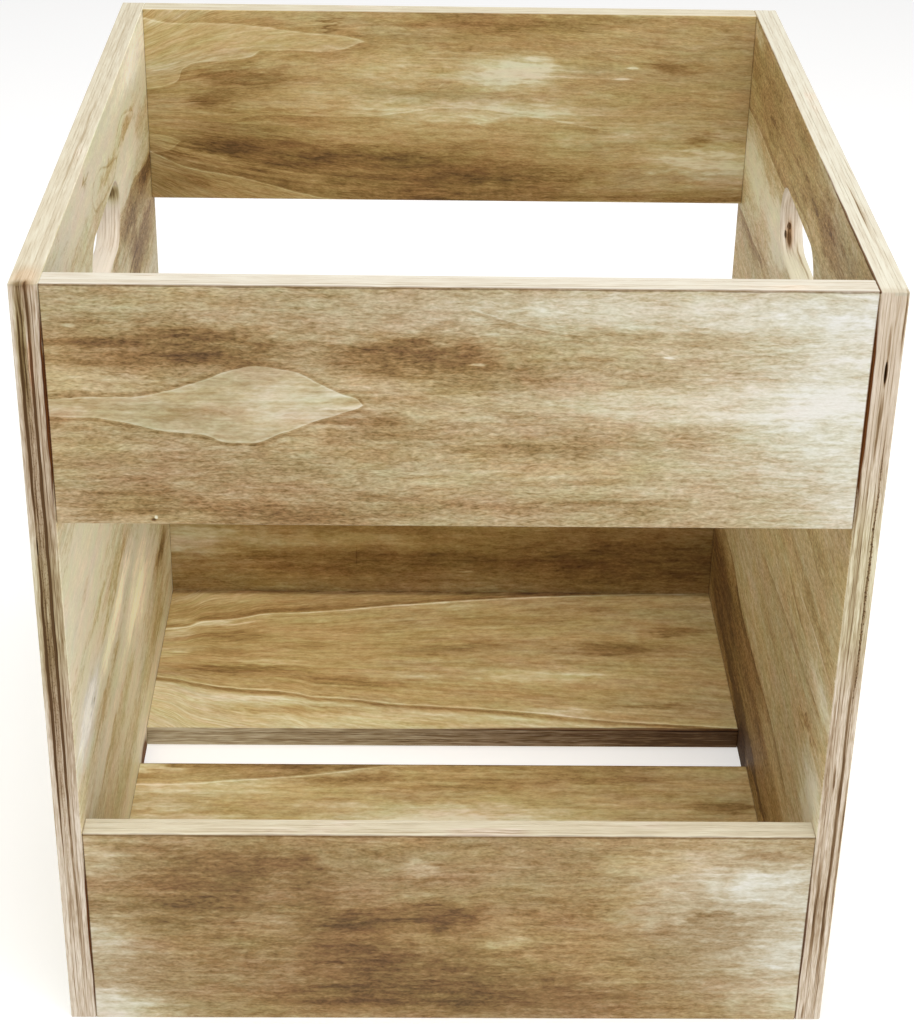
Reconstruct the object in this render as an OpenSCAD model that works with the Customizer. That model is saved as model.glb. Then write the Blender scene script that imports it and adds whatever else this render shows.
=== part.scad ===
// Record crate in plywood: two side panels with hand holes, four cross slats and two base boards.
// Each slat and board meets the side panels end on, with a dowel between two countersunk screws.
// X is the width, Y the depth with the front at -Y, and Z is up. The origin is on the floor, under
// the middle of the crate.

/* [Crate] */
// Overall width, over the outer faces of the side panels
crate_w = 360; // [340:1:400]
// Overall depth, from the front edges to the back edges of the side panels
crate_d = 380; // [360:1:420]
// Overall height of the side panels
crate_h = 384; // [350:1:430]
// Thickness of the plywood
ply = 12; // [11.5:0.5:15]
// Width of the broken edge round every board
arris = 0.6; // [0.3:0.1:1]

/* [Slats and base] */
// Height of each cross slat
slat_h = 110; // [90:1:130]
// Depth of the rear base board, front to back
rear_board_d = 147; // [120:1:165]
// Open gap between the two base boards
base_gap = 33.5; // [20:0.5:60]

/* [Hand holes] */
// Length of a hand hole, end to end
hand_l = 102; // [90:1:125]
// Height of a hand hole
hand_h = 34; // [30:1:44]
// Drop from the top edge of the side panel to the middle of the hand hole
hand_drop = 63; // [45:1:80]
// Radius of the eased rim on both faces of the panel
hand_ease = 2; // [1:0.25:3]

/* [Screws] */
// Outside diameter of the thread
thread_d = 3.5; // [3:0.1:4]
// Diameter of the core under the thread
core_d = 2.3; // [2:0.1:2.6]
// Diameter of the smooth shank
shank_d = 2.6; // [2.3:0.1:2.9]
// Length of a screw, from the top of its head to its tip
screw_l = 35; // [32:1:42]
// Length of the thread, with the tip
thread_l = 23; // [20:1:26]
// Pitch of the thread
thread_pitch = 1.8; // [1.4:0.1:2.4]
// Length of the tapered tip
tip_l = 4; // [3:0.5:6]
// Diameter of the countersunk head
head_d = 7; // [6.4:0.1:7.6]
// Height of the straight rim of the head
head_rim = 0.3; // [0.1:0.1:0.5]
// Depth of the head below the face of the side panel
head_sink = 0.2; // [0:0.1:0.6]
// Span of the cross recess in the head
recess_w = 3.6; // [3:0.1:4.2]
// Width of each slot of the cross recess
recess_slot = 0.9; // [0.6:0.1:1.2]
// Depth of the cross recess
recess_depth = 1.7; // [1.2:0.1:2]
// Distance from the edge of a slat or board to its screws
screw_inset = 25; // [15:1:30]

/* [Dowels] */
// Diameter of a dowel
dowel_d = 6; // [5:0.5:8]
// Length of a dowel
dowel_l = 30; // [25:1:35]
// Depth that a dowel stands in the side panel
dowel_seat = 8; // [7:0.5:9]
// Width of the broken edge at each end of a dowel
dowel_chamfer = 0.8; // [0.4:0.1:1.2]
// Side of the square section of each flute, cut corner first
flute = 0.5; // [0.3:0.1:0.7]
// Number of flutes round a dowel
flute_count = 12; // [8:1:16]

/* [Clearances] */
// Radial clearance round the thread in its pilot hole and round the head in its countersink
screw_fit = 0.05; // [0.02:0.01:0.1]
// Radial clearance round the thread in the side panel
screw_way = 0.25; // [0.15:0.05:0.5]
// Radial clearance round a dowel
dowel_fit = 0.05; // [0.02:0.01:0.1]
// Free depth past a screw tip and past each end of a dowel
end_room = 0.5; // [0.3:0.1:1]

/* [Hidden] */
$fn = 48;

// Overshoot of a cutter past the face that it cuts
over = 1;
inner_w = crate_w - 2 * ply;
slat_y = (crate_d - ply) / 2;
upper_z = crate_h - slat_h / 2;
lower_z = slat_h / 2;
base_end_y = crate_d / 2 - ply;
front_board_d = 2 * base_end_y - base_gap - rear_board_d;

// Cross members, each as its centre in y and z and its size along y and z
front_upper = [-slat_y, upper_z, ply, slat_h];
front_lower = [-slat_y, lower_z, ply, slat_h];
back_upper = [slat_y, upper_z, ply, slat_h];
back_lower = [slat_y, lower_z, ply, slat_h];
rear_base = [base_end_y - rear_board_d / 2, ply / 2, rear_board_d, ply];
front_base = [front_board_d / 2 - base_end_y, ply / 2, front_board_d, ply];
cross_members = [front_upper, front_lower, back_upper, back_lower, rear_base, front_base];

hand_r = hand_h / 2;
hand_reach = hand_l / 2 - hand_r;
thread_r = thread_d / 2;
core_r = core_d / 2;
shank_r = shank_d / 2;
head_r = head_d / 2;
sink_r = head_r + screw_fit;
way_r = thread_r + screw_way;
tooth_count = floor(thread_l / thread_pitch);

screw_colour = [0.78, 0.76, 0.70];
dowel_colour = [0.85, 0.72, 0.52];

// Centre of a cross member's section, where its dowel sits
function middle(member) = [member[0], member[1]];

// Direction of the longer side of a cross member's section
function long_way(member) = member[2] > member[3] ? [1, 0] : [0, 1];

// The two places of the screws in the end of a cross member
function screw_spots(member) =
    let (reach = max(member[2], member[3]) / 2 - screw_inset)
    [for (side = [-1, 1]) middle(member) + side * reach * long_way(member)];

// Share of the full radius left on a screw at a height above its tip
function taper(height) = min(1, height / tip_l);

// One turn of the thread as a tooth, from its upper root to its crest
function tooth(height) = [
    [core_r * taper(height), height - screw_l],
    [thread_r * taper(height - thread_pitch / 2), height - thread_pitch / 2 - screw_l]
];

// Rectangle about the origin with its corners cut by the arris
module broken_rectangle(w, h) {
    polygon([
        for (corner = [[1, 1], [-1, 1], [-1, -1], [1, -1]])
        let (first_cut = corner.x * corner.y > 0 ? [0, arris] : [arris, 0])
        for (cut = [first_cut, [arris, arris] - first_cut])
        [corner.x * (w / 2 - cut.x), corner.y * (h / 2 - cut.y)]
    ]);
}

// Board about the origin with all its edges broken
module board(size) {
    intersection() {
        linear_extrude(size.z, center = true) broken_rectangle(size.x, size.y);
        rotate([90, 0, 0]) linear_extrude(size.y, center = true) broken_rectangle(size.x, size.z);
        rotate([90, 0, 90]) linear_extrude(size.x, center = true) broken_rectangle(size.y, size.z);
    }
}

// Puts what it holds, drawn on the right, on the left
module on_left() {
    mirror([1, 0, 0]) children();
}

// Stands what it holds on the right panel's outer face, with its own +Z pointing out of the crate
module on_face(spot) {
    translate([crate_w / 2, spot[0], spot[1]]) rotate([0, 90, 0]) children();
}

// Slot with round ends, about the origin, long in its own Y
module slot_prism(r, h) {
    for (side = [-1, 1]) translate([0, side * hand_reach, 0]) cylinder(r = r, h = h);
    translate([-r, -hand_reach, 0]) cube([2 * r, 2 * hand_reach, h]);
}

// Solid rail whose round side shapes the eased rim of the hand hole
module rim_rail() {
    rail_r = hand_r + hand_ease;
    for (side = [0, 180]) {
        rotate(side) {
            translate([0, hand_reach, 0]) rotate_extrude(angle = 180) translate([rail_r, 0]) circle(hand_ease);
            translate([rail_r, hand_reach, 0]) rotate([90, 0, 0]) cylinder(r = hand_ease, h = 2 * hand_reach);
        }
    }
}

// What the hand hole takes out of the panel, from its outer face inwards
module hand_hole() {
    translate([0, 0, -ply - over]) slot_prism(hand_r, ply + 2 * over);
    for (face = [0, 1]) {
        translate([0, 0, -face * ply]) mirror([0, 0, face]) difference() {
            translate([0, 0, -hand_ease]) slot_prism(hand_r + hand_ease, hand_ease + over);
            translate([0, 0, -hand_ease]) rim_rail();
        }
    }
}

// Clearance hole and countersink for a screw in the side panel
module screw_passage() {
    translate([0, 0, -ply - over]) cylinder(r = way_r, h = ply + 2 * over);
    sink_floor = -head_sink - head_rim;
    rotate_extrude() polygon([
        [0, over], [sink_r, over], [sink_r, sink_floor],
        [way_r, sink_floor - (sink_r - way_r)], [0, sink_floor - (sink_r - way_r)]
    ]);
}

// Pilot hole for a screw in the end of a cross member
module screw_pilot() {
    depth = head_sink + screw_l + end_room;
    translate([0, 0, -depth]) cylinder(r = thread_r + screw_fit, h = depth - ply + over);
}

// Hole for a dowel, half in the side panel and half in the cross member
module dowel_hole() {
    depth = dowel_l + 2 * end_room;
    translate([0, 0, dowel_seat + end_room - ply - depth]) cylinder(r = dowel_d / 2 + dowel_fit, h = depth);
}

// Countersunk wood screw with its head at the origin, pointing down
module screw() {
    teeth = [for (i = [0 : tooth_count - 1]) each tooth(thread_l - i * thread_pitch)];
    difference() {
        rotate_extrude() polygon(concat(
            [[0, 0], [head_r, 0], [head_r, -head_rim], [shank_r, -head_rim - (head_r - shank_r)],
             [shank_r, thread_l - screw_l]],
            teeth,
            [[0, -screw_l]]
        ));
        for (turn = [0, 90]) {
            rotate(turn) translate([0, 0, -recess_depth / 2 + over / 2])
                cube([recess_w, recess_slot, recess_depth + over], center = true);
        }
    }
}

// Fluted dowel about the origin, along its own Z
module dowel() {
    r = dowel_d / 2;
    end = dowel_l / 2;
    difference() {
        rotate_extrude() polygon([
            [0, -end], [r - dowel_chamfer, -end], [r, dowel_chamfer - end],
            [r, end - dowel_chamfer], [r - dowel_chamfer, end], [0, end]
        ]);
        for (turn = [1 : flute_count]) {
            rotate(turn * 360 / flute_count) translate([r, 0, 0]) rotate(45)
                cube([flute, flute, dowel_l + 2 * over], center = true);
        }
    }
}

// Right side panel with its hand hole and the holes for all the fixings
module side_panel() {
    difference() {
        translate([(crate_w - ply) / 2, 0, crate_h / 2]) board([ply, crate_d, crate_h]);
        on_face([0, crate_h - hand_drop]) hand_hole();
        for (member = cross_members) {
            for (spot = screw_spots(member)) on_face(spot) screw_passage();
            on_face(middle(member)) dowel_hole();
        }
    }
}

// Slat or base board between the side panels, with the holes in both its ends
module cross_member(member) {
    difference() {
        translate([0, member[0], member[1]]) board([inner_w, member[2], member[3]]);
        end_holes(member);
        on_left() end_holes(member);
    }
}

// Holes in the right end of a cross member
module end_holes(member) {
    for (spot = screw_spots(member)) on_face(spot) screw_pilot();
    on_face(middle(member)) dowel_hole();
}

// Screws in the right end of a cross member
module end_screws(member) {
    for (spot = screw_spots(member)) on_face(spot) translate([0, 0, -head_sink]) screw();
}

// The four screws of a cross member, two through each side panel
module screw_set(member) {
    color(screw_colour) {
        end_screws(member);
        on_left() end_screws(member);
    }
}

// Dowel in the right end of a cross member
module end_dowel(member) {
    on_face(middle(member)) translate([0, 0, dowel_seat - ply - dowel_l / 2]) dowel();
}

// The two dowels of a cross member, one at each end
module dowel_pair(member) {
    color(dowel_colour) {
        end_dowel(member);
        on_left() end_dowel(member);
    }
}

module left_side_panel() color([0.74, 0.66, 0.48]) on_left() side_panel();

module right_side_panel() color([0.72, 0.62, 0.46]) side_panel();

module front_upper_slat() color([0.70, 0.60, 0.43]) cross_member(front_upper);

module front_lower_slat() color([0.66, 0.55, 0.38]) cross_member(front_lower);

module back_upper_slat() color([0.63, 0.50, 0.31]) cross_member(back_upper);

module back_lower_slat() color([0.52, 0.41, 0.25]) cross_member(back_lower);

module rear_base_board() color([0.67, 0.56, 0.36]) cross_member(rear_base);

module front_base_board() color([0.66, 0.57, 0.35]) cross_member(front_base);

module front_upper_screws() screw_set(front_upper);

module front_lower_screws() screw_set(front_lower);

module back_upper_screws() screw_set(back_upper);

module back_lower_screws() screw_set(back_lower);

module rear_base_screws() screw_set(rear_base);

module front_base_screws() screw_set(front_base);

module front_upper_dowels() dowel_pair(front_upper);

module front_lower_dowels() dowel_pair(front_lower);

module back_upper_dowels() dowel_pair(back_upper);

module back_lower_dowels() dowel_pair(back_lower);

module rear_base_dowels() dowel_pair(rear_base);

module front_base_dowels() dowel_pair(front_base);

left_side_panel();
right_side_panel();
front_upper_slat();
front_lower_slat();
back_upper_slat();
back_lower_slat();
rear_base_board();
front_base_board();
front_upper_screws();
front_lower_screws();
back_upper_screws();
back_lower_screws();
rear_base_screws();
front_base_screws();
front_upper_dowels();
front_lower_dowels();
back_upper_dowels();
back_lower_dowels();
rear_base_dowels();
front_base_dowels();
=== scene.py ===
import math
from collections import namedtuple

import bmesh
import bpy
from mathutils import Matrix, Vector, noise


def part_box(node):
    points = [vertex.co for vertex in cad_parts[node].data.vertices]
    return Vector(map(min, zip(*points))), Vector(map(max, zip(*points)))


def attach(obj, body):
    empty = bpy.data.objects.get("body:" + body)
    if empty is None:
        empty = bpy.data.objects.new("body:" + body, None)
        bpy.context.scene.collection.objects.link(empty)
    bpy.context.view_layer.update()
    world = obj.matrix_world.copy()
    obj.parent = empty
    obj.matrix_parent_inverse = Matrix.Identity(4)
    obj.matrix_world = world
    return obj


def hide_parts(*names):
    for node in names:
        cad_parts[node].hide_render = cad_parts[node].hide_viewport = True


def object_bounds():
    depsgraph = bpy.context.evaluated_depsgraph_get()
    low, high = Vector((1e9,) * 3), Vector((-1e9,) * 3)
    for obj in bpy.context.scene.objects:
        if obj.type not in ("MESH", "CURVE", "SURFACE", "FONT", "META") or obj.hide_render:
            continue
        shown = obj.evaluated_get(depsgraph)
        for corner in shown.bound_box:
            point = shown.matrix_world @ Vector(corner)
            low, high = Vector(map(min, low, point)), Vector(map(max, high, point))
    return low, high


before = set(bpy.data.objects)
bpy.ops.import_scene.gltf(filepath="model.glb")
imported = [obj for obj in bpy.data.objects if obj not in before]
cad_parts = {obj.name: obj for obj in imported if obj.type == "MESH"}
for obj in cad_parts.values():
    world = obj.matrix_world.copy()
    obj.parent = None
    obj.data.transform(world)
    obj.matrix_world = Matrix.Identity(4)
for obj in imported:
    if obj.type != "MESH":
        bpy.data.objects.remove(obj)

bl_info = {
    "name": "Record crate",
    "version": (1, 0, 0),
    "blender": (4, 5, 0),
    "location": "View3D > Sidebar > Crate",
    "description": "Dresses a plywood record crate: boards, screws, dowels, studio light and camera",
    "category": "Add Mesh",
}

MM = 0.001
BODY = "root"
CAD_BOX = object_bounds()

# The picture's frame, and the camera that was fitted to it
PICTURE_WIDTH = 914
PICTURE_HEIGHT = 1024
FOCAL_PIXELS = 2188.3
AXIS_PIXEL = (455.26, 448.29)
CAMERA_PLACE = Vector((-0.01816, -0.98784, 0.73974))
CAMERA_TURN = (61.774, -0.929, -0.740)
SENSOR = 36.0

# Each board's node, the axes of its grain and its thickness, and the side of the face that is seen
Board = namedtuple("Board", "node grain thin seen")
BOARDS = {row[0]: Board(*row) for row in (
    ("front_upper_slat", "X", "Y", -1),
    ("front_lower_slat", "X", "Y", -1),
    ("back_upper_slat", "X", "Y", -1),
    ("back_lower_slat", "X", "Y", -1),
    ("rear_base_board", "X", "Z", 1),
    ("front_base_board", "X", "Z", 1),
    ("left_side_panel", "Y", "X", 1),
    ("right_side_panel", "Y", "X", -1),
)}
# The boards between the side panels, with the first words of their screws' and dowels' names
CROSS_MEMBERS = {name: name.rpartition("_")[0] for name in BOARDS if not name.endswith("panel")}


class BoardSettings(bpy.types.PropertyGroup):
    arris: bpy.props.FloatProperty(
        name="Arris", description="Radius of the sanded edges of each board",
        default=0.6 * MM, min=0.2 * MM, max=1.5 * MM, unit="LENGTH")
    grid: bpy.props.FloatProperty(
        name="Grid", description="Spacing of the cuts across each board",
        default=8 * MM, min=4 * MM, max=20 * MM, unit="LENGTH")
    groove: bpy.props.FloatProperty(
        name="Glue line", description="Width of the groove at each glue line in a sawn edge",
        default=0.3 * MM, min=0.1 * MM, max=0.6 * MM, unit="LENGTH")
    groove_depth: bpy.props.FloatProperty(
        name="Glue line depth", description="Depth of the groove at each glue line",
        default=0.16 * MM, min=0.0, max=0.5 * MM, unit="LENGTH")
    cross_ply_sink: bpy.props.FloatProperty(
        name="Cross ply sink", description="How far the cross plies lie below the sawn edge",
        default=0.07 * MM, min=0.0, max=0.3 * MM, unit="LENGTH")
    hand_rim: bpy.props.FloatProperty(
        name="Hand hole rim", description="Radius of the eased rim of a hand hole",
        default=2.0 * MM, min=0.5 * MM, max=4 * MM, unit="LENGTH")


class FixingSettings(bpy.types.PropertyGroup):
    zinc_yellow: bpy.props.FloatVectorProperty(
        name="Zinc, yellow side", description="Warmer colour of the screws' zinc", subtype="COLOR", size=3,
        default=(0.66, 0.62, 0.52))
    zinc_blue: bpy.props.FloatVectorProperty(
        name="Zinc, blue side", description="Cooler colour of the screws' zinc", subtype="COLOR", size=3,
        default=(0.58, 0.60, 0.62))
    beech_pale: bpy.props.FloatVectorProperty(
        name="Pale beech", description="Colour of the dowels between their flecks", subtype="COLOR", size=3,
        default=(0.68, 0.50, 0.32))
    beech_brown: bpy.props.FloatVectorProperty(
        name="Brown beech", description="Colour of the dowels' flecks", subtype="COLOR", size=3,
        default=(0.44, 0.27, 0.14))


class StageSettings(bpy.types.PropertyGroup):
    key_power: bpy.props.FloatProperty(
        name="Key", description="Power of the large soft light", default=28.5, min=0.0, unit="POWER")
    fill_power: bpy.props.FloatProperty(
        name="Fill", description="Power of the weak light at the right", default=11.5, min=0.0, unit="POWER")
    left_fill_power: bpy.props.FloatProperty(
        name="Left fill", description="Power of the weaker light at the left", default=8.0, min=0.0,
        unit="POWER")
    sky: bpy.props.FloatProperty(
        name="Sky", description="Strength of the even white surroundings", default=0.48, min=0.0)
    floor_glow: bpy.props.FloatProperty(
        name="Floor glow", description="Light that the blown-out floor gives off", default=0.3, min=0.0)
    floor_colour: bpy.props.FloatVectorProperty(
        name="Floor", description="Colour of the pale floor", subtype="COLOR", size=3,
        default=(0.8, 0.8, 0.8))


def axis_index(letter):
    """The number of an axis."""
    return "XYZ".index(letter)


def link_mesh(bm, name):
    """Turns a bmesh into an object of the scene, with its place in its mesh."""
    mesh = bpy.data.meshes.new(name)
    bm.to_mesh(mesh)
    bm.free()
    piece = bpy.data.objects.new(name, mesh)
    bpy.context.scene.collection.objects.link(piece)
    return piece


# How near to a cut a point counts as lying on it
CUT_SNAP = 1e-7


def cut_across(bm, axis, places):
    """Cuts the whole mesh square to an axis at each place."""
    normal = Vector((0, 0, 0))
    normal[axis] = 1
    for place in places:
        geometry = bm.verts[:] + bm.edges[:] + bm.faces[:]
        bmesh.ops.bisect_plane(bm, geom=geometry, dist=CUT_SNAP, plane_co=normal * place, plane_no=normal)


PLIES = (3.0 * MM, 1.5 * MM, 3.0 * MM, 1.5 * MM, 3.0 * MM)
# The unevenness of the sawn edges: its wavelength and its place in the noise
NOISE_STEP = 18 * MM
NOISE_PLACE = Vector((0, 0, 7.3))
# Share of the arris within which a point belongs to a sawn edge, and of the groove to a glue line
ARRIS_SHARE = 0.2
GROOVE_SHARE = 0.25


def glue_lines(thickness):
    """Depth of each glue line from a board's middle, with the plies stretched to its thickness."""
    scale = thickness / sum(PLIES)
    depths = []
    depth = -thickness / 2
    for ply in PLIES[:-1]:
        depth += ply * scale
        depths.append(depth)
    return depths


def board_blank(board, settings):
    """A board as a bmesh block: sanded arrises, sawn edges with their plies in relief."""
    low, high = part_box(board.node)
    size = high - low
    middle = (low + high) / 2
    thin = axis_index(board.thin)
    bm = bmesh.new()
    bmesh.ops.create_cube(bm, size=1.0)
    bmesh.ops.scale(bm, vec=size, verts=bm.verts)
    bmesh.ops.translate(bm, vec=middle, verts=bm.verts)
    bmesh.ops.bevel(
        bm, geom=bm.edges[:], offset=settings.arris, offset_type="OFFSET", segments=3,
        profile=0.5, affect="EDGES", material=-1)
    lines = glue_lines(size[thin])
    half = settings.groove / 2
    cuts = [middle[thin] + line + side * half for line in lines for side in (-1, 0, 1)]
    cut_across(bm, thin, cuts)
    for axis in range(3):
        if axis != thin:
            count = max(2, round(size[axis] / settings.grid))
            cut_across(bm, axis, [low[axis] + size[axis] * k / count for k in range(1, count)])
    relieve_edges(bm, low, high, thin, lines, settings)
    return bm


def relieve_edges(bm, low, high, thin, lines, settings):
    """Sinks the cross plies and the glue lines of the sawn edges a little, unevenly along them."""
    middle = (low[thin] + high[thin]) / 2
    near = settings.arris * ARRIS_SHARE
    for vert in bm.verts:
        depth = vert.co[thin] - middle
        inward = Vector((0, 0, 0))
        for axis in range(3):
            if axis == thin:
                continue
            if vert.co[axis] < low[axis] + near:
                inward[axis] = 1
            elif vert.co[axis] > high[axis] - near:
                inward[axis] = -1
        if inward.length == 0 or abs(depth) > lines[-1] + settings.groove:
            continue
        sink = 0.0
        gap = min(abs(depth - line) for line in lines)
        uneven = noise.noise(vert.co / NOISE_STEP + NOISE_PLACE)
        if gap < settings.groove * GROOVE_SHARE:
            sink = settings.groove_depth * (1 + uneven)
        elif lines[0] < depth < lines[1] or lines[2] < depth < lines[3]:
            sink = settings.cross_ply_sink * (1 + uneven)
        vert.co += inward.normalized() * sink


def apply_modifiers(piece):
    """Makes the piece's evaluated mesh its own, and drops its modifiers."""
    graph = bpy.context.evaluated_depsgraph_get()
    mesh = bpy.data.meshes.new_from_object(piece.evaluated_get(graph))
    piece.modifiers.clear()
    old = piece.data
    piece.data = mesh
    bpy.data.meshes.remove(old)
    mesh.name = piece.name


def carve(piece, cutters):
    """Takes the cutters' space out of the piece."""
    tool = link_mesh(cutters, piece.name + "_cutters")
    modifier = piece.modifiers.new("Holes", "BOOLEAN")
    modifier.operation = "DIFFERENCE"
    modifier.solver = "EXACT"
    modifier.object = tool
    apply_modifiers(piece)
    bpy.data.objects.remove(tool)


# Points closer than this are one point
SLIVER = 5e-7


def drop_slivers(piece):
    """Joins the points that the cuts left on top of each other, and so drops the faces between them."""
    bm = bmesh.new()
    bm.from_mesh(piece.data)
    bmesh.ops.remove_doubles(bm, verts=bm.verts, dist=SLIVER)
    bm.to_mesh(piece.data)
    bm.free()


# The fixings' holes: radii, and depths under the side panels' outer faces
HOLE_SEGMENTS = 32
THREAD_HOLE = 1.8 * MM
PASSAGE = 2.0 * MM
COUNTERSINK = 3.55 * MM
SINK_RIM = 0.5 * MM
SCREW_REACH = 36.0 * MM
DOWEL_HOLE = 3.05 * MM
DOWEL_DEPTHS = (3.5 * MM, 34.5 * MM)
# How far a cutter reaches past the wood
OVERRUN = 1 * MM


def add_rod(bm, centre, side, radius_out, radius_in, depth_out, depth_in):
    """Adds a round cutter along X between two depths under the outer face, and gives its outer end."""
    outside = CAD_BOX[1].x if side > 0 else CAD_BOX[0].x
    length = depth_in - depth_out
    turn = Matrix.Rotation(math.radians(90 * side), 4, "Y")
    place = Vector((outside - side * (depth_out + depth_in) / 2, centre[0], centre[1]))
    rod = bmesh.ops.create_cone(
        bm, cap_ends=True, cap_tris=False, segments=HOLE_SEGMENTS, radius1=radius_in, radius2=radius_out,
        depth=length, matrix=Matrix.Translation(place) @ turn)
    caps = {face for vert in rod["verts"] for face in vert.link_faces if len(face.verts) == HOLE_SEGMENTS}
    return max(caps, key=lambda face: side * face.calc_center_median().x)


def add_screw_hole(bm, centre, side, ply):
    """Adds a screw's cutter, a passage that widens to its countersink, as one closed form."""
    sink = COUNTERSINK - PASSAGE
    cap = add_rod(bm, centre, side, PASSAGE, PASSAGE, SINK_RIM + sink, ply + OVERRUN)
    for widening, step in ((COUNTERSINK / PASSAGE, sink), (1.0, SINK_RIM + OVERRUN)):
        cap = bmesh.ops.extrude_discrete_faces(bm, faces=[cap])["faces"][0]
        middle = cap.calc_center_median()
        bmesh.ops.scale(
            bm, vec=(1.0, widening, widening), space=Matrix.Translation(-middle), verts=cap.verts[:])
        bmesh.ops.translate(bm, vec=(side * step, 0.0, 0.0), verts=cap.verts[:])


def fixing_places(member):
    """Where the screws and the dowel of a cross member stand, as places in Y and Z."""
    low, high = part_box(member + "_screws")
    head = min(high.y - low.y, high.z - low.z) / 2
    screws = [(low.y + head, low.z + head), (high.y - head, high.z - head)]
    low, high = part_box(member + "_dowels")
    return screws, ((low.y + high.y) / 2, (low.z + high.z) / 2)


def add_passages(bm, side, ply):
    """Adds the screw holes with their countersinks and the dowel holes of a side panel."""
    for member in CROSS_MEMBERS.values():
        screws, dowel = fixing_places(member)
        for place in screws:
            add_screw_hole(bm, place, side, ply)
        add_rod(bm, dowel, side, DOWEL_HOLE, DOWEL_HOLE, DOWEL_DEPTHS[0], ply + OVERRUN)


def add_pilots(bm, member, ply):
    """Adds the screw and dowel holes in both ends of a cross member."""
    screws, dowel = fixing_places(member)
    for side in (-1, 1):
        for place in screws:
            add_rod(bm, place, side, THREAD_HOLE, THREAD_HOLE, ply - OVERRUN, SCREW_REACH)
        add_rod(bm, dowel, side, DOWEL_HOLE, DOWEL_HOLE, ply - OVERRUN, DOWEL_DEPTHS[1])


# Small gaps in the inner plies that the saw laid open: panel, centre and half sizes in millimetres
PLY_VOIDS = (
    ("right_side_panel", (173.9, -190.0, 348.0), (0.55, 2.2, 5.0)),
    ("right_side_panel", (172.9, 49.6, 313.4), (1.1, 2.0, 2.0)),
    ("right_side_panel", (171.0, 47.0, 309.8), (0.6, 3.2, 2.2)),
    ("left_side_panel", (-176.9, -190.0, 262.0), (0.35, 1.2, 4.5)),
)
VOID_SEGMENTS = 16


def add_voids(bm, panel):
    """Adds the lens-shaped gaps of a panel's inner plies."""
    for name, centre, half in PLY_VOIDS:
        if name == panel:
            place = Matrix.Translation(Vector(centre) * MM) @ Matrix.Diagonal((*(Vector(half) * MM), 1))
            bmesh.ops.create_uvsphere(
                bm, u_segments=VOID_SEGMENTS, v_segments=VOID_SEGMENTS // 2, radius=1.0, matrix=place)


# The hand holes: the slot, how far its middle lies under the top edge, and the steps of its eased rim
HAND_LENGTH = 102 * MM
HAND_HEIGHT = 34 * MM
HAND_DROP = 63 * MM
HAND_SEGMENTS = 64
RIM_STEPS = 6
RIM_LAST = math.radians(80)


def hand_profile(ply, settings):
    """The hand hole's radius at each depth from one face to the other, rims and glue lines included."""
    radius = HAND_HEIGHT / 2
    rim = settings.hand_rim
    half = ply / 2
    flare = []
    for k in range(RIM_STEPS + 1):
        turn = RIM_LAST * k / RIM_STEPS
        flare.append((half - rim + rim * math.sin(turn), radius + rim * (1 - math.cos(turn))))
    flare.append((half + OVERRUN, flare[-1][1]))
    profile = [(-depth, r) for depth, r in reversed(flare)]
    for line in glue_lines(ply):
        if abs(line) < half - rim:
            profile.append((line - settings.groove / 2, radius))
            profile.append((line, radius + settings.groove_depth))
            profile.append((line + settings.groove / 2, radius))
    return profile + flare


def hand_cutter(side, ply, settings):
    """What a hand hole takes out of a side panel: a long slot with round ends and eased rims."""
    bm = bmesh.new()
    reach = HAND_LENGTH / 2 - HAND_HEIGHT / 2
    height = CAD_BOX[1].z - HAND_DROP
    wall = side * (CAD_BOX[1].x - ply / 2)
    profile = hand_profile(ply, settings)
    half_step = Matrix.Rotation(math.pi / HAND_SEGMENTS, 4, "Z")
    bmesh.ops.create_circle(bm, cap_ends=True, segments=HAND_SEGMENTS, radius=profile[0][1], matrix=half_step)
    for vert in bm.verts:
        vert.co.y += math.copysign(reach, vert.co.y)
        vert.co.z = profile[0][0]
    bm.faces.ensure_lookup_table()
    cap = bm.faces[0]
    for depth, radius in profile[1:]:
        grown = bmesh.ops.extrude_face_region(bm, geom=[cap])
        bmesh.ops.delete(bm, geom=[cap], context="FACES_ONLY")
        cap = next(f for f in grown["geom"] if isinstance(f, bmesh.types.BMFace))
        for vert in cap.verts:
            centre = Vector((0, math.copysign(reach, vert.co.y), 0))
            outward = Vector((vert.co.x, vert.co.y, 0)) - centre
            vert.co = centre + outward.normalized() * radius + Vector((0, 0, depth))
    bottom = [e for e in bm.edges if e.is_boundary]
    if bottom:
        bmesh.ops.contextual_create(bm, geom=bottom)
    bmesh.ops.recalc_face_normals(bm, faces=bm.faces)
    turn = Matrix.Rotation(math.radians(90), 4, "Y")
    bmesh.ops.transform(bm, matrix=Matrix.Translation((wall, 0, height)) @ turn, verts=bm.verts)
    return bm


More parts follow.
